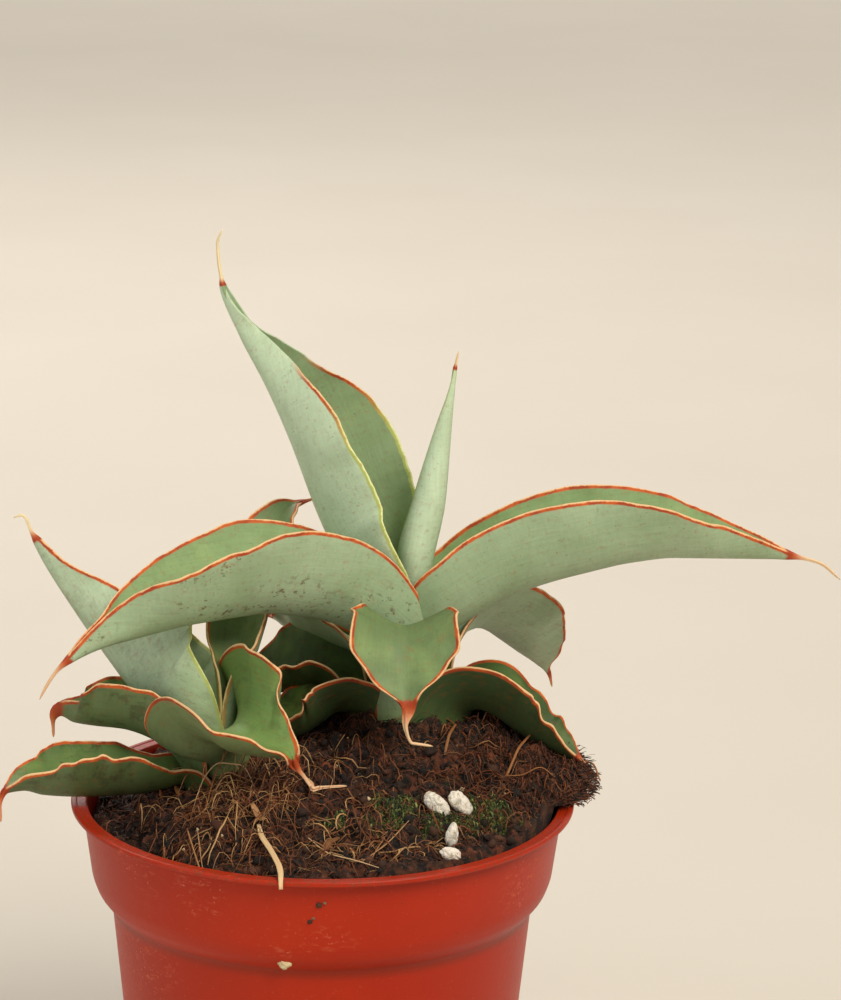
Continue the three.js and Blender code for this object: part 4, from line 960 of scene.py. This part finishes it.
def makeSoil(material):
    # rings round the upright axis: up the ball's side inside the pot, out under the clump where
    # it leans over the lip, and over the top, where every ring keeps its share of the reach
    s, p, clump = soilShape, potShape, soilShape["clump"]
    edge, foot = s["edgeRadius"], p["floor"] + s["clear"]
    turn = np.linspace(0, turnRound, s["sectors"], endpoint=False)
    reach = soilReach(turn)
    ragged = s["raggedOffset"] + sum(
        strength * cloud(40 * np.cos(turn), 40 * np.sin(turn), size, seed)
        for strength, size, seed in s["ragged"])
    reach = np.maximum(reach + ragged * easeInOut((reach - edge) / 1.5), edge)
    over = reach > edge + 0.5
    waist, bandFoot = p["height"] - p["waistDepth"], p["height"] - p["bandHeight"]
    side = [(p["baseRadius"] - p["wall"] - s["clear"], foot),
            *[(radius, waist + rise) for radius, rise in s["wall"]],
            (s["bandSide"], bandFoot), s["upperSide"]]
    rows = [ringPoints(radius, height, turn) for radius, height in side]
    for share in (0.0, 0.5, 1.0):
        radius = np.where(over, edge + (reach - edge) * share, edge)
        rough = 0.9 * share * np.abs(cloud(radius * np.cos(turn), radius * np.sin(turn), 1.3, 14))
        under = clump["bottom"] - 0.15 * (1 - share) + rough
        rows.append(ringPoints(radius, np.where(over, under, s["brim"][0] + s["brim"][1] * share), turn))
    share = np.linspace(1, 0, s["rings"] + 1)[:-1] ** s["gather"]
    radius = reach * share[:, None]
    height = soilTop(radius * np.cos(turn), radius * np.sin(turn))
    low = clump["bottom"] + clump["edge"]
    rounded = np.sqrt(easeInOut((1 - share) / s["roundOver"]))[:, None]
    height = np.where(over, low + (height - low) * rounded, height)
    grid = np.concatenate([np.stack(rows), ringPoints(radius, height, turn)])
    middle = float(soilTop(np.zeros(1), np.zeros(1))[0])
    points = np.concatenate([grid.reshape(-1, 3), [[0, 0, foot], [0, 0, middle]]])
    moss = mossCover(points[:, 0], points[:, 1]) * (points[:, 2] > s["edgeHeight"])
    # the relief also goes to the material, which paints shade in its hollows and light on its heights
    relief = soilRelief(points[:, 0], points[:, 1])
    return makePiece("soil_ball", points * mm, closedFaces(len(grid), s["sectors"]), material,
                     ("soil",), {"moss": moss, "relief": relief})


def soilMaterial():
    # dark peat, rusty in patches, with painted shade in the gaps between clods and painted light on their
    # tops, green where moss grows
    m = ShaderMaker("peatSoil")
    place = m.place()
    lumps = m.noise(place, 0.55, 5, 0.7)
    tint = m.mix(colour(13, 8, 5), colour(72, 40, 21), m.between(lumps, 0.38, 0.66))
    rusty = m.between(m.noise(place, 0.16, 3), 0.46, 0.64)
    tint = m.mix(tint, colour(108, 50, 22), 0.5 * rusty * m.between(lumps, 0.36, 0.6))
    # painted shade and light: darker where the relief is low, lighter where it is high
    tint = m.shade(tint, 0.25 + 1.35 * m.between(m.value("relief"), -0.7, 1.6))
    flecks = m.between(m.noise(m.stretch(place, (1.1, 2.6, 2.0)), 1.0, 2), 0.64, 0.7)
    tint = m.mix(tint, colour(150, 108, 66), 0.5 * flecks)
    green = m.mix(colour(24, 36, 14), colour(86, 98, 40), m.between(m.noise(place, 2.2, 3), 0.4, 0.62))
    tint = m.mix(tint, green, 0.85 * m.between(m.value("moss"), 0.1, 0.5))
    height = 1.2 * m.noise(place, 1.2, 5, 0.7) + 0.5 * m.noise(place, 4.0, 3)
    return m.finish(tint, 0.92, height, 0.7, 0.0007)


makeSoil(soilMaterial())
print("soil made")


# fibres: fine peat and coir strands lying on the soil

strandMake = dict(
    lengthSpread=0.45, thickSpread=0.4, tangle=0.35, tilt=0.25,
    follow=0.5,  # how much a strand follows the ground rather than its mean height
    sink=0.5,  # the most that it sinks in
    clear=0.6,  # its height over the ground in its own radii
    waver=0.12, waverFrom=0.4, wallGap=0.4,
)


def strands(region, count, seed, length, lift, radius, steps, tones, bend=0.7):
    # thin strands: each leaves a random spot in a random direction, bends and wanders, and
    # arches over the ground by its lift. region draws the spots and directions
    s = strandMake
    draw = np.random.RandomState(seed)
    x, y, heading = region(draw, count)
    count = len(x)
    long = length * np.exp(s["lengthSpread"] * draw.randn(count))
    curl = bend * draw.randn(count)
    high = lift * np.abs(draw.randn(count))
    tilt = s["tilt"] * lift * draw.randn(count)
    thick = radius * np.exp(s["thickSpread"] * draw.randn(count))
    t = np.linspace(0, 1, steps)
    wander = s["tangle"] * np.cumsum(draw.randn(count, steps), axis=1)
    angle = heading[:, None] + curl[:, None] * (t - 0.5) + wander
    dx = np.cumsum(np.cos(angle), axis=1) * long[:, None] / steps
    dy = np.cumsum(np.sin(angle), axis=1) * long[:, None] / steps
    px = x[:, None] + dx - dx.mean(axis=1, keepdims=True)
    py = y[:, None] + dy - dy.mean(axis=1, keepdims=True)
    ground = soilTop(px, py)
    level = s["follow"] * ground + (1 - s["follow"]) * ground.mean(axis=1, keepdims=True)
    arch = high[:, None] * np.sin(math.pi * t) + tilt[:, None] * (2 * t - 1)
    waver = s["waver"] * np.cumsum(draw.randn(count, steps), axis=1) * (lift > s["waverFrom"])
    pz = np.maximum(level, ground - s["sink"]) + arch + thick[:, None] * s["clear"] + waver
    keep = (np.hypot(px, py) < soilReach(np.arctan2(py, px)) - s["wallGap"]).all(axis=1)
    low, high = tones
    tone = low + (high - low) * draw.rand(count)[keep]
    return px[keep], py[keep], pz[keep], thick[keep], tone


def strandMesh(px, py, pz, thick, flat=1.0):
    # rings of three points round each strand, tapering to both ends; flat widens them sideways
    place = np.stack([px, py, pz], -1)
    along = unit(np.gradient(place, axis=1))
    beside = unit(np.cross(along, np.array([0, 0, 1.0])))
    over = np.cross(beside, along)
    t = np.linspace(0, 1, px.shape[1])
    width = (thick[:, None] * (0.35 + 0.65 * np.sin(math.pi * np.clip(t, 0.06, 0.94)) ** 0.6))[:, :, None]
    corners = [place + width * (math.cos(a) * beside * flat + math.sin(a) * over)
               for a in (0.5, 0.5 + turnRound / 3, 0.5 + 2 * turnRound / 3)]
    points = np.stack(corners, 2)
    count, steps = px.shape
    ends = np.array([[2, 1, 0], [steps * 3 - 3, steps * 3 - 2, steps * 3 - 1]])
    return points.reshape(-1, 3), [
        repeatedFaces(part, count, steps * 3) for part in (tubeFaces(steps, 3), ends)]


def allOver(draw, count):
    # spots spread evenly over the soil, and directions
    spot, turn = np.sqrt(draw.rand(count)), turnRound * draw.rand(count)
    reach = soilReach(turn) - 0.6
    return reach * spot * np.cos(turn), reach * spot * np.sin(turn), turnRound * draw.rand(count)


def inPatch(x, y, spreadX, spreadY):
    # spots that gather round one place
    def region(draw, count):
        return (x + spreadX * draw.randn(count), y + spreadY * draw.randn(count),
                turnRound * draw.rand(count))
    return region


# fine dark peat fibres everywhere and more on the clump; then the long coir ones, rusty
# everywhere and golden at the front left, the front and the right. Tones go from dark to golden.
peatSets = [
    dict(count=3600, seed=41, length=2.4, lift=0.4, radius=0.08, steps=5, region=allOver,
         tones=(0.0, 0.4)),
    dict(count=1500, seed=47, length=2.2, lift=0.9, radius=0.08, steps=5,
         region=inPatch(38, 3, 6.5, 9), tones=(0.05, 0.5)),
]
coirSets = [
    dict(count=1500, seed=42, length=4.2, lift=0.7, radius=0.09, steps=7, region=allOver,
         tones=(0.1, 0.62)),
    dict(count=520, seed=43, length=5.4, lift=2.1, radius=0.078, steps=8,
         region=inPatch(-14, -16, 8.5, 8.5), tones=(0.25, 1.0)),
    dict(count=190, seed=44, length=6.0, lift=1.1, radius=0.09, steps=7,
         region=inPatch(7, -30, 9, 5), tones=(0.35, 0.95)),
    dict(count=260, seed=46, length=5.0, lift=1.0, radius=0.09, steps=7,
         region=inPatch(28, -10, 10, 10), tones=(0.25, 0.75)),
]


def makeFibres(name, fibreSets, material, flat=1.0):
    # the strands of every set in one piece, each with its own tone
    points, quads, ends, tones, start = [], [], [], [], 0
    for fibres in fibreSets:
        px, py, pz, thick, tone = strands(**fibres)
        corners, (sides, tips) = strandMesh(px, py, pz, thick, flat)
        points.append(corners)
        quads.append(sides + start)
        ends.append(tips + start)
        tones.append(np.repeat(tone, px.shape[1] * 3))
        start += len(corners)
    return makePiece(name, np.concatenate(points) * mm, [np.concatenate(quads), np.concatenate(ends)],
                     material, values={"tone": np.concatenate(tones)})


def fibreMaterial():
    # dark brown to golden by each strand's tone
    m = ShaderMaker("coirFibre")
    tone = m.value("tone")
    tint = m.mix(colour(30, 16, 9), colour(124, 66, 30), m.between(tone, 0.05, 0.55))
    tint = m.mix(tint, colour(204, 160, 104), m.between(tone, 0.5, 1.05))
    return m.finish(m.shade(tint, 0.75 + 0.5 * m.noise(m.place(), 1.1, 3)), 0.72)


coirFibre = fibreMaterial()
makeFibres("peat_fibres", peatSets, coirFibre)
makeFibres("coir_fibres", coirSets, coirFibre)


clumpFuzz = dict(
    seed=45, count=1500, steps=5, middle=9, spread=17,  # degrees round the pot
    inset=3.2, length=1.5, thick=0.08, stray=0.7, sway=0.25, droop=0.35,
    overLip=1.2, lipGap=0.2, beyond=1.6,
)


def makeFuzz(material):
    # short hairs standing out from the clump's rim and flanks, drooping at their ends
    f, clump = clumpFuzz, soilShape["clump"]
    draw = np.random.RandomState(f["seed"])
    count = f["count"]
    turn = math.radians(f["middle"]) + math.radians(f["spread"]) * draw.randn(count)
    reach = soilReach(turn)
    inset = f["inset"] * draw.rand(count) ** 1.5
    x, y = (reach - inset) * np.cos(turn), (reach - inset) * np.sin(turn)
    rise = np.sqrt(clamp01(inset / f["inset"]))
    z = clump["bottom"] + (soilTop(x, y) - clump["bottom"]) * rise + 0.3 * draw.randn(count)
    outward = turn + f["stray"] * draw.randn(count)
    climb = -0.25 + 1.1 * draw.rand(count) + 0.25 * inset
    length = f["length"] * np.exp(0.4 * draw.randn(count))
    t = np.linspace(0, 1, f["steps"])
    run = (length / np.sqrt(1 + climb ** 2))[:, None] * t
    sway = f["sway"] * np.cumsum(draw.randn(count, f["steps"]), axis=1) * t
    px = x[:, None] + run * np.cos(outward[:, None] + sway)
    py = y[:, None] + run * np.sin(outward[:, None] + sway)
    pz = z[:, None] + run * climb[:, None] - f["droop"] * length[:, None] * t * t
    outside = reach > soilShape["edgeRadius"] + f["overLip"]
    above = pz.min(axis=1) > potShape["height"] + f["lipGap"]
    keep = outside & above & (np.hypot(px, py).max(axis=1) < reach + f["beyond"])
    thick = f["thick"] * np.exp(0.4 * draw.randn(count))
    points, faces = strandMesh(px[keep], py[keep], pz[keep], thick[keep])
    tone = 0.5 * draw.rand(count)[keep]
    return makePiece("clump_fuzz", points * mm, faces, material,
                     values={"tone": np.repeat(tone, f["steps"] * 3)})


makeFuzz(coirFibre)
print("fibres made")


# grains: balls of twenty triangles, made finer where a piece needs it

golden = (1 + math.sqrt(5)) / 2
ballPoints = unit(np.array([
    [-1, golden, 0], [1, golden, 0], [-1, -golden, 0], [1, -golden, 0],
    [0, -1, golden], [0, 1, golden], [0, -1, -golden], [0, 1, -golden],
    [golden, 0, -1], [golden, 0, 1], [-golden, 0, -1], [-golden, 0, 1]]))
ballFaces = np.array([
    [0, 11, 5], [0, 5, 1], [0, 1, 7], [0, 7, 10], [0, 10, 11], [1, 5, 9], [5, 11, 4], [11, 10, 2],
    [10, 7, 6], [7, 1, 8], [3, 9, 4], [3, 4, 2], [3, 2, 6], [3, 6, 8], [3, 8, 9], [4, 9, 5],
    [2, 4, 11], [6, 2, 10], [8, 6, 7], [9, 8, 1]])


def finerBall(points, faces):
    # every triangle becomes four, with the new points pushed out to the ball
    edges = np.sort(np.concatenate([faces[:, [0, 1]], faces[:, [1, 2]], faces[:, [2, 0]]]), axis=1)
    unique, back = np.unique(edges, axis=0, return_inverse=True)
    back = back.reshape(3, -1).T + len(points)
    points = np.concatenate([points, unit(points[unique[:, 0]] + points[unique[:, 1]])])
    a, b, c = faces.T
    ab, bc, ca = back.T
    return points, np.concatenate([np.stack(t, -1) for t in (
        (a, ab, ca), (b, bc, ab), (c, ca, bc), (ab, bc, ca))])


crumbs = dict(
    seed=61, count=3600, size=0.34, sizeSpread=0.5, most=0.9, dents=0.28, lift=0.25,
    stretch=(0.65, 0.7),  # least, and how much more at most
    dark=0.985, darkLeft=0.95, leftCorner=(-12, -8),  # share that is dark, less at the left
)


def makeCrumbs(material):
    # lumpy little balls, each stretched, turned about Z and dented at random
    c = crumbs
    draw = np.random.RandomState(c["seed"])
    count, corners = c["count"], len(ballPoints)
    x, y, turn = allOver(draw, count)
    size = np.minimum(c["size"] * np.exp(c["sizeSpread"] * draw.randn(count)), c["most"])
    stretch = c["stretch"][0] + c["stretch"][1] * draw.rand(count, 3)
    dents = 1 + c["dents"] * draw.randn(count, corners)
    shape = ballPoints[None] * dents[:, :, None] * stretch[:, None] * size[:, None, None]
    dx, dy = turnedBy(shape[:, :, 0], shape[:, :, 1], turn[:, None])
    pz = soilTop(x, y)[:, None] + c["lift"] * size[:, None] + shape[:, :, 2]
    points = np.stack([x[:, None] + dx, y[:, None] + dy, pz], -1)
    left = (x < c["leftCorner"][0]) & (y < c["leftCorner"][1])
    pale = draw.rand(count) > np.where(left, c["darkLeft"], c["dark"])
    tone = np.where(pale, 1.0, 0.55 * draw.rand(count) ** 1.5)
    return makePiece("soil_crumbs", points * mm, [repeatedFaces(ballFaces, count, corners)], material,
                     values={"tone": np.repeat(tone, corners)})


# bits of soil stuck to the pot's front: x, y, z, size in mm, tone
wallCrumbs = [
    (-5.2, -39.5, 61.2, 1.0, 0.95), (0.6, -42.6, 73.2, 0.5, 0.5), (1.6, -42.6, 73.6, 0.3, 0.85),
    (-0.9, -42.1, 70.0, 0.4, 0.3), (-0.3, -42.1, 70.6, 0.28, 0.84),
]


def makeWallCrumbs(material):
    # finer balls, dented by noise and flattened a little against the wall
    points, faces = finerBall(*finerBall(ballPoints, ballFaces))
    shapes, tones = [], []
    for n, (x, y, z, size, tone) in enumerate(wallCrumbs):
        dents = 1 + 0.45 * cloud(points[:, 0] + points[:, 2], points[:, 1] - points[:, 2], 0.45, 90 + n)
        shape = points * dents[:, None] * size * np.array([1.0, 0.8, 0.9])
        shapes.append(shape + np.array([x, y, z]))
        tones.append(np.full(len(points), tone))
    linked = repeatedFaces(faces, len(wallCrumbs), len(points))
    return makePiece("wall_crumbs", np.concatenate(shapes) * mm, [linked], material,
                     values={"tone": np.concatenate(tones)})


def crumbMaterial():
    # brown grit by each crumb's tone, the palest a dull cream
    m = ShaderMaker("soilCrumb")
    tone = m.value("tone")
    tint = m.mix(colour(18, 11, 7), colour(86, 52, 32), m.between(tone, 0.0, 0.6))
    tint = m.mix(tint, colour(206, 186, 142), m.between(tone, 0.8, 0.95))
    grit = m.noise(m.place(), 3.0, 4, 0.7)
    return m.finish(m.shade(tint, 0.6 + 0.8 * grit), 0.9, grit, 0.5, 0.0003)


barkChips = dict(
    seed=67, count=120, within=39, mossFree=0.3, size=0.85, sizeSpread=0.35, sizes=(0.4, 1.7),
    long=(1.1, 0.7), broad=0.75, flat=(0.3, 0.5),  # least, and how much more at most
    dents=0.16, tip=0.5, lift=0.15,
)


def makeChips(material):
    # flat flakes of bark and clods of peat, each tipped and turned at random, half sunk in the soil
    c = barkChips
    draw = np.random.RandomState(c["seed"])
    points, faces = finerBall(ballPoints, ballFaces)
    x, y, turn = allOver(draw, c["count"])
    keep = (np.hypot(x, y) < c["within"]) & (mossCover(x, y) < c["mossFree"])
    x, y, turn = x[keep], y[keep], turn[keep]
    count = len(x)
    size = np.clip(c["size"] * np.exp(c["sizeSpread"] * draw.randn(count)), *c["sizes"])
    flat = c["flat"][0] + c["flat"][1] * draw.rand(count)
    long = c["long"][0] + c["long"][1] * draw.rand(count)
    scale = size[:, None] * np.stack([long, np.full(count, c["broad"]), flat], -1)
    dents = 1 + c["dents"] * draw.randn(count, len(points))
    shape = points[None] * dents[:, :, None] * scale[:, None]
    level, tipped = turnedBy(shape[:, :, 0], shape[:, :, 2], c["tip"] * draw.randn(count)[:, None])
    dx, dy = turnedBy(level, shape[:, :, 1], turn[:, None])
    pz = soilTop(x, y)[:, None] + c["lift"] * size[:, None] + tipped
    placed = np.stack([x[:, None] + dx, y[:, None] + dy, pz], -1)
    return makePiece("bark_chips", placed * mm, [repeatedFaces(faces, count, len(points))], material,
                     values={"tone": np.repeat(draw.rand(count), len(points))})


def barkMaterial():
    # rusty bark, lined across its thickness
    m = ShaderMaker("barkChip")
    tone = m.value("tone")
    tint = m.mix(colour(26, 16, 11), colour(118, 58, 28), m.between(tone, 0.2, 0.95))
    grain = m.noise(m.stretch(m.place(), (1.0, 1.0, 2.4)), 1.6, 4, 0.7)
    return m.finish(m.shade(tint, 0.55 + 0.9 * grain), 0.88, grain, 0.7, 0.0005)


makeChips(barkMaterial())
soilCrumb = crumbMaterial()
makeCrumbs(soilCrumb)
makeWallCrumbs(soilCrumb)
print("crumbs and chips made")


# moss

def mossMaterial():
    # dark to light green by each strand's tone, the palest nearly straw-coloured
    m = ShaderMaker("greenMoss")
    tone = m.value("tone")
    tint = m.mix(colour(20, 30, 13), colour(84, 98, 42), m.between(tone, 0.0, 0.75))
    tint = m.mix(tint, colour(158, 162, 92), m.between(tone, 0.8, 1.0))
    return m.finish(m.shade(tint, 0.7 + 0.6 * m.noise(m.place(), 1.5, 2)), 0.8)


def onMoss(draw, count):
    # spots drawn round the patches, kept where the moss is thick
    spots = []
    for mx, my, spreadX, spreadY, full in mossPatches:
        x = mx + 1.2 * spreadX * draw.randn(2 * count)
        y = my + 1.2 * spreadY * draw.randn(2 * count)
        spots.append(np.stack([x, y])[:, mossCover(x, y) > 0.25 + 0.5 * draw.rand(2 * count)])
    x, y = np.concatenate(spots, axis=1)
    pick = draw.permutation(len(x))[:count]
    return x[pick], y[pick], turnRound * draw.rand(len(pick))


mossSets = [dict(count=3400, seed=71, length=0.8, lift=0.32, radius=0.062, steps=4, bend=1.6,
                 region=onMoss, tones=(0, 1))]
makeFibres("moss_tufts", mossSets, mossMaterial(), flat=1.8)
print("moss made")


# straws: the dry one that hangs over the lip, and loose ones on the soil, each a flattened tube

strawMake = dict(steps=40, around=12, tip=0.45, wobble=0.12)
hangingStraw = dict(
    width=1.15, thick=0.42, tone=1.0,  # its stops are [x, y, height over the pot's foot]
    points=[[-10.4, -25.0, 81.1], [-9.7, -29, 80.5], [-8.4, -33, 80.1], [-7.0, -37.5, 79.6],
            [-6.1, -41, 79.1], [-5.8, -43.9, 78.8], [-5.75, -45.1, 77.9], [-5.7, -45.35, 76.9]],
)
# name, width, thickness, tone, then a few stops as [x, y, height over the soil]
looseStraws = [
    ("brown_straw_a", 0.55, 0.3, 0.5, [[37.5, 6, 2.4], [35.2, 0.2, 1.8], [33, -4, 1.4], [31, -8.5, 0.6]]),
    ("green_blade", 0.35, 0.16, 0.62,
     [[30.5, -6.5, 1.0], [35.2, -3.6, 2.2], [38.7, -3, 2.0], [41.5, -3.4, 0.9]]),
    ("brown_straw_b", 0.6, 0.35, 0.45, [[23.6, 3.5, 1.8], [22.6, 0.5, 1.8], [21.6, -2.8, 0.5]]),
    ("arching_fibre", 0.2, 0.2, 0.85,
     [[-22.5, -12, 0.6], [-20.6, -9.5, 3.6], [-18, -8.2, 5.2], [-14.3, -9.2, 4.2], [-11.1, -12.5, 0.6]]),
    ("rust_fibre", 0.24, 0.22, 0.55,
     [[-16.6, -6, 6.2], [-18.2, -8.5, 4.6], [-19.6, -13.5, 2.4], [-20.6, -21.5, 0.6]]),
    ("leaning_fibre_a", 0.3, 0.25, 0.7, [[-23, -21.2, 2.2], [-21.4, -27.5, 2.0], [-19.4, -35.5, 1.0]]),
    ("leaning_fibre_b", 0.2, 0.2, 0.75, [[-21, -24, 2.6], [-19.8, -30, 1.6], [-19.2, -34.5, 0.8]]),
    ("thin_straw", 0.26, 0.2, 0.9,
     [[-1.7, -29.2, 1.0], [2.2, -33.4, 1.4], [6.5, -37, 1.6], [10.6, -39.6, 1.3]]),
    ("dark_fibre_a", 0.3, 0.25, 0.3, [[5.7, -22.8, 1.4], [7.1, -27, 1.2], [10, -31.8, 0.6]]),
    ("crossed_fibre_a", 0.22, 0.2, 0.75, [[15.5, -26.5, 1.6], [11.5, -31.5, 1.8], [7.6, -36.5, 0.7]]),
    ("crossed_fibre_b", 0.18, 0.18, 0.7, [[12, -27, 1.1], [10.6, -32, 1.6], [8.8, -37, 0.8]]),
    ("bark_chip", 1.5, 0.7, 0.38, [[3.4, -27, 0.8], [1.8, -30, 0.9], [0.2, -33, 0.6]]),
    ("papery_sheath", 1.4, 0.25, 0.72, [[-11.8, -19, 1.0], [-10.4, -21.6, 1.8], [-9.8, -24.6, 1.7]]),
    ("pale_chip", 0.7, 0.4, 0.95, [[-30.2, -24.6, 0.5], [-29.2, -25.2, 0.7], [-28, -25.4, 0.4]]),
    ("dry_scale", 0.8, 0.25, 0.6, [[-26.2, -4.5, 2.6], [-25.4, -7.5, 2.0], [-24.2, -11, 0.6]]),
    ("clump_twig", 0.4, 0.35, 0.5, [[46.4, 8.5, 1.6], [48.4, 5.8, 2.0], [49.8, 3.2, 0.6]]),
]


def makeStraw(name, width, thick, tone, stops, material, replaces=()):
    # a round section, flattened, wavy and tapered, swept along a smooth curve through the stops
    steps, sides = strawMake["steps"], strawMake["around"]
    chord = np.concatenate([[0], np.cumsum(np.linalg.norm(np.diff(stops, axis=0), axis=1))])
    t = np.linspace(0, 1, steps)
    line = np.stack([throughKnots(np.column_stack([chord / chord[-1], stops[:, k]]), t)
                     for k in range(3)], -1)
    along = unit(np.gradient(line, axis=0))
    beside = unit(np.cross(along, np.array([0, 0, 1.0])))
    over = np.cross(beside, along)
    tip = strawMake["tip"]
    taper = (tip + (1 - tip) * np.sin(math.pi * np.clip(t, 0.04, 0.96)) ** 0.7)[:, None, None]
    around = np.linspace(0, turnRound, sides, endpoint=False)
    wobble = 1 + strawMake["wobble"] * np.sin(9 * t)[:, None] * np.cos(2 * around)[None]
    cos, sin = (np.cos(around) * wobble)[:, :, None], (np.sin(around) * wobble)[:, :, None]
    ring = line[:, None] + taper * (cos * beside[:, None] * width / 2 + sin * over[:, None] * thick / 2)
    points = np.concatenate([ring.reshape(-1, 3), line[:1], line[-1:]])
    grain = np.stack([np.tile(around, steps), np.repeat(t * chord[-1], sides),
                      np.zeros(steps * sides)], -1)
    grain = np.concatenate([grain, grain[:1], grain[-1:]])
    return makePiece(name, points * mm, closedFaces(steps, sides), material, replaces,
                     {"tone": np.full(len(points), tone), "grain": grain})


def strawMaterial():
    # brown to pale straw by each piece's tone, lined along its length
    m = ShaderMaker("dryStraw")
    tone, grain = m.value("tone"), m.vector("grain")
    lines = m.noise(m.stretch(grain, (1.6, 0.25, 1)), 1.0, 4, 0.7)
    tint = m.mix(colour(84, 48, 26), colour(160, 104, 54), m.between(tone, 0.2, 0.6))
    tint = m.mix(tint, colour(226, 190, 140), m.between(tone, 0.6, 1.0))
    tint = m.shade(tint, 0.65 + 0.7 * lines)
    return m.finish(tint, 0.66, lines, 0.5, 0.0003)


dryStraw = strawMaterial()
makeStraw("dry_straw", hangingStraw["width"], hangingStraw["thick"], hangingStraw["tone"],
          np.array(hangingStraw["points"]), dryStraw, ("straw",))
for name, width, thick, tone, stops in looseStraws:
    stops = np.array(stops, float)
    stops[:, 2] += soilTop(stops[:, 0], stops[:, 1])
    makeStraw(name, width, thick, tone, stops, dryStraw)
print("straws made:", 1 + len(looseStraws))


# perlite: foamy white grains, dented, leaning on the soil where the solids have theirs

# half: half of each grain's width, depth and length; lean: degrees off the upright, top to the left
perliteGrains = [
    dict(name="perlite1", x=20.4, y=-18.2, half=(1.4, 1.4, 2.6), lean=46, seed=81),
    dict(name="perlite2", x=24.4, y=-16.6, half=(1.5, 1.4, 2.5), lean=40, seed=82),
    dict(name="perlite3", x=23, y=-28, half=(1.35, 1.3, 2.3), lean=-10, seed=83),
    dict(name="perlite4", x=22.9, y=-32, half=(1.4, 1.3, 2.0), lean=82, seed=84),
]


def makePerlite(grain, material):
    # a fine ball, dented by two sizes of noise, stretched, leaned and set into the soil
    points, faces = ballPoints, ballFaces
    for _ in range(4):
        points, faces = finerBall(points, faces)
    x, y, z = points.T
    seed = grain["seed"]
    dents = 0.2 * cloud(x + 0.4 * z, y - 0.3 * z, 0.8, seed) + 0.08 * cloud(x - z, y + z, 0.3, seed + 7)
    shape = points * (0.97 + dents)[:, None] * np.array(grain["half"])
    lean = math.radians(grain["lean"])
    level, upright = turnedBy(shape[:, 0], shape[:, 2], lean)
    shape = np.stack([level, shape[:, 1], upright], -1)
    centre = np.array([grain["x"], grain["y"], 0.0])
    centre[2] = baseHeight(centre[:1], centre[1:2])[0] + 0.4 - 0.5 * shape[:, 2].min()
    return makePiece(grain["name"] + "_grain", (shape + centre) * mm, [faces], material,
                     (grain["name"],))


def perliteMaterial():
    # chalky white with darker pits and a few olive stains
    m = ShaderMaker("perliteFoam")
    place = m.place()
    pits = m.noise(place, 1.8, 4, 0.7)
    tint = m.mix(colour(188, 168, 138), colour(238, 230, 214), m.between(pits, 0.34, 0.5))
    tint = m.mix(tint, colour(92, 84, 52), 0.5 * m.between(m.noise(place, 0.7, 2), 0.56, 0.7))
    return m.finish(tint, 0.85, pits, 0.7, 0.0004)


perliteFoam = perliteMaterial()
for grain in perliteGrains:
    makePerlite(grain, perliteFoam)
print("perlite made")


# rhizome and roots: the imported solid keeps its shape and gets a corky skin

def rootMaterial():
    # cork in pale and brown rings
    m = ShaderMaker("rootSkin")
    place = m.place()
    rings = m.noise(m.stretch(place, (0.6, 0.6, 1.8)), 1.0, 4, 0.65)
    tint = m.mix(colour(140, 98, 54), colour(206, 166, 108), rings)
    return m.finish(tint, 0.8, rings, 0.5, 0.0004)


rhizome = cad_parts["rhizome"]
rhizome.data.materials.clear()
rhizome.data.materials.append(rootMaterial())
print("rhizome coloured")


# floor and light: a plain pale floor and soft studio lamps

studio = dict(
    span=4.0,  # metres from the middle to the floor's edges
    floor=colour(206, 198, 186), floorWorn=colour(200, 192, 178),
    world=(0.96, 0.91, 0.84, 1), worldStrength=0.32,
    lamps=[
        # place in metres, size, watts, tint
        dict(name="key", place=(0.55, -0.75, 1.05), size=0.6, watts=15, tint=(1, 0.94, 0.84)),
        dict(name="fill", place=(-0.9, -0.8, 0.45), size=0.9, watts=4, tint=(0.95, 0.97, 1)),
        dict(name="back", place=(-0.3, 0.9, 0.8), size=0.6, watts=5, tint=(1, 0.97, 0.92)),
        dict(name="wash", place=(0, 2.7, 2.2), aim=(0, 2.9, 0), size=3.2, watts=62, tint=(1, 0.97, 0.92)),
    ],
    aim=(0, 0, 0.1),  # where the lamps without an aim of their own are turned
)


def makeStudio():
    # a square floor, an even sky and the lamps, each turned toward what it lights
    span = studio["span"]
    sheet = bpy.data.meshes.new("floor")
    sheet.from_pydata([(-span, -span, 0), (span, -span, 0), (span, span, 0), (-span, span, 0)],
                      [], [(0, 1, 2, 3)])
    floor = bpy.data.objects.new("floor", sheet)
    bpy.context.scene.collection.objects.link(floor)
    m = ShaderMaker("floorPaint")
    tint = m.mix(studio["floor"], studio["floorWorn"], m.noise(m.place(), 0.01, 2))
    sheet.materials.append(m.finish(tint, 0.8))
    world = bpy.data.worlds.new("studio")
    world.use_nodes = True
    sky = world.node_tree.nodes["Background"]
    sky.inputs["Color"].default_value = studio["world"]
    sky.inputs["Strength"].default_value = studio["worldStrength"]
    bpy.context.scene.world = world
    for lamp in studio["lamps"]:
        light = bpy.data.lights.new(lamp["name"], "AREA")
        light.size, light.energy, light.color = lamp["size"], lamp["watts"], lamp["tint"]
        body = bpy.data.objects.new(lamp["name"], light)
        place = Vector(lamp["place"])
        body.location = place
        toward = Vector(lamp.get("aim", studio["aim"])) - place
        body.rotation_euler = toward.to_track_quat("-Z", "Y").to_euler()
        bpy.context.scene.collection.objects.link(body)


makeStudio()
print("studio lit")
bpy.context.scene.view_settings.view_transform = "Standard"

bpy.context.view_layer.update()
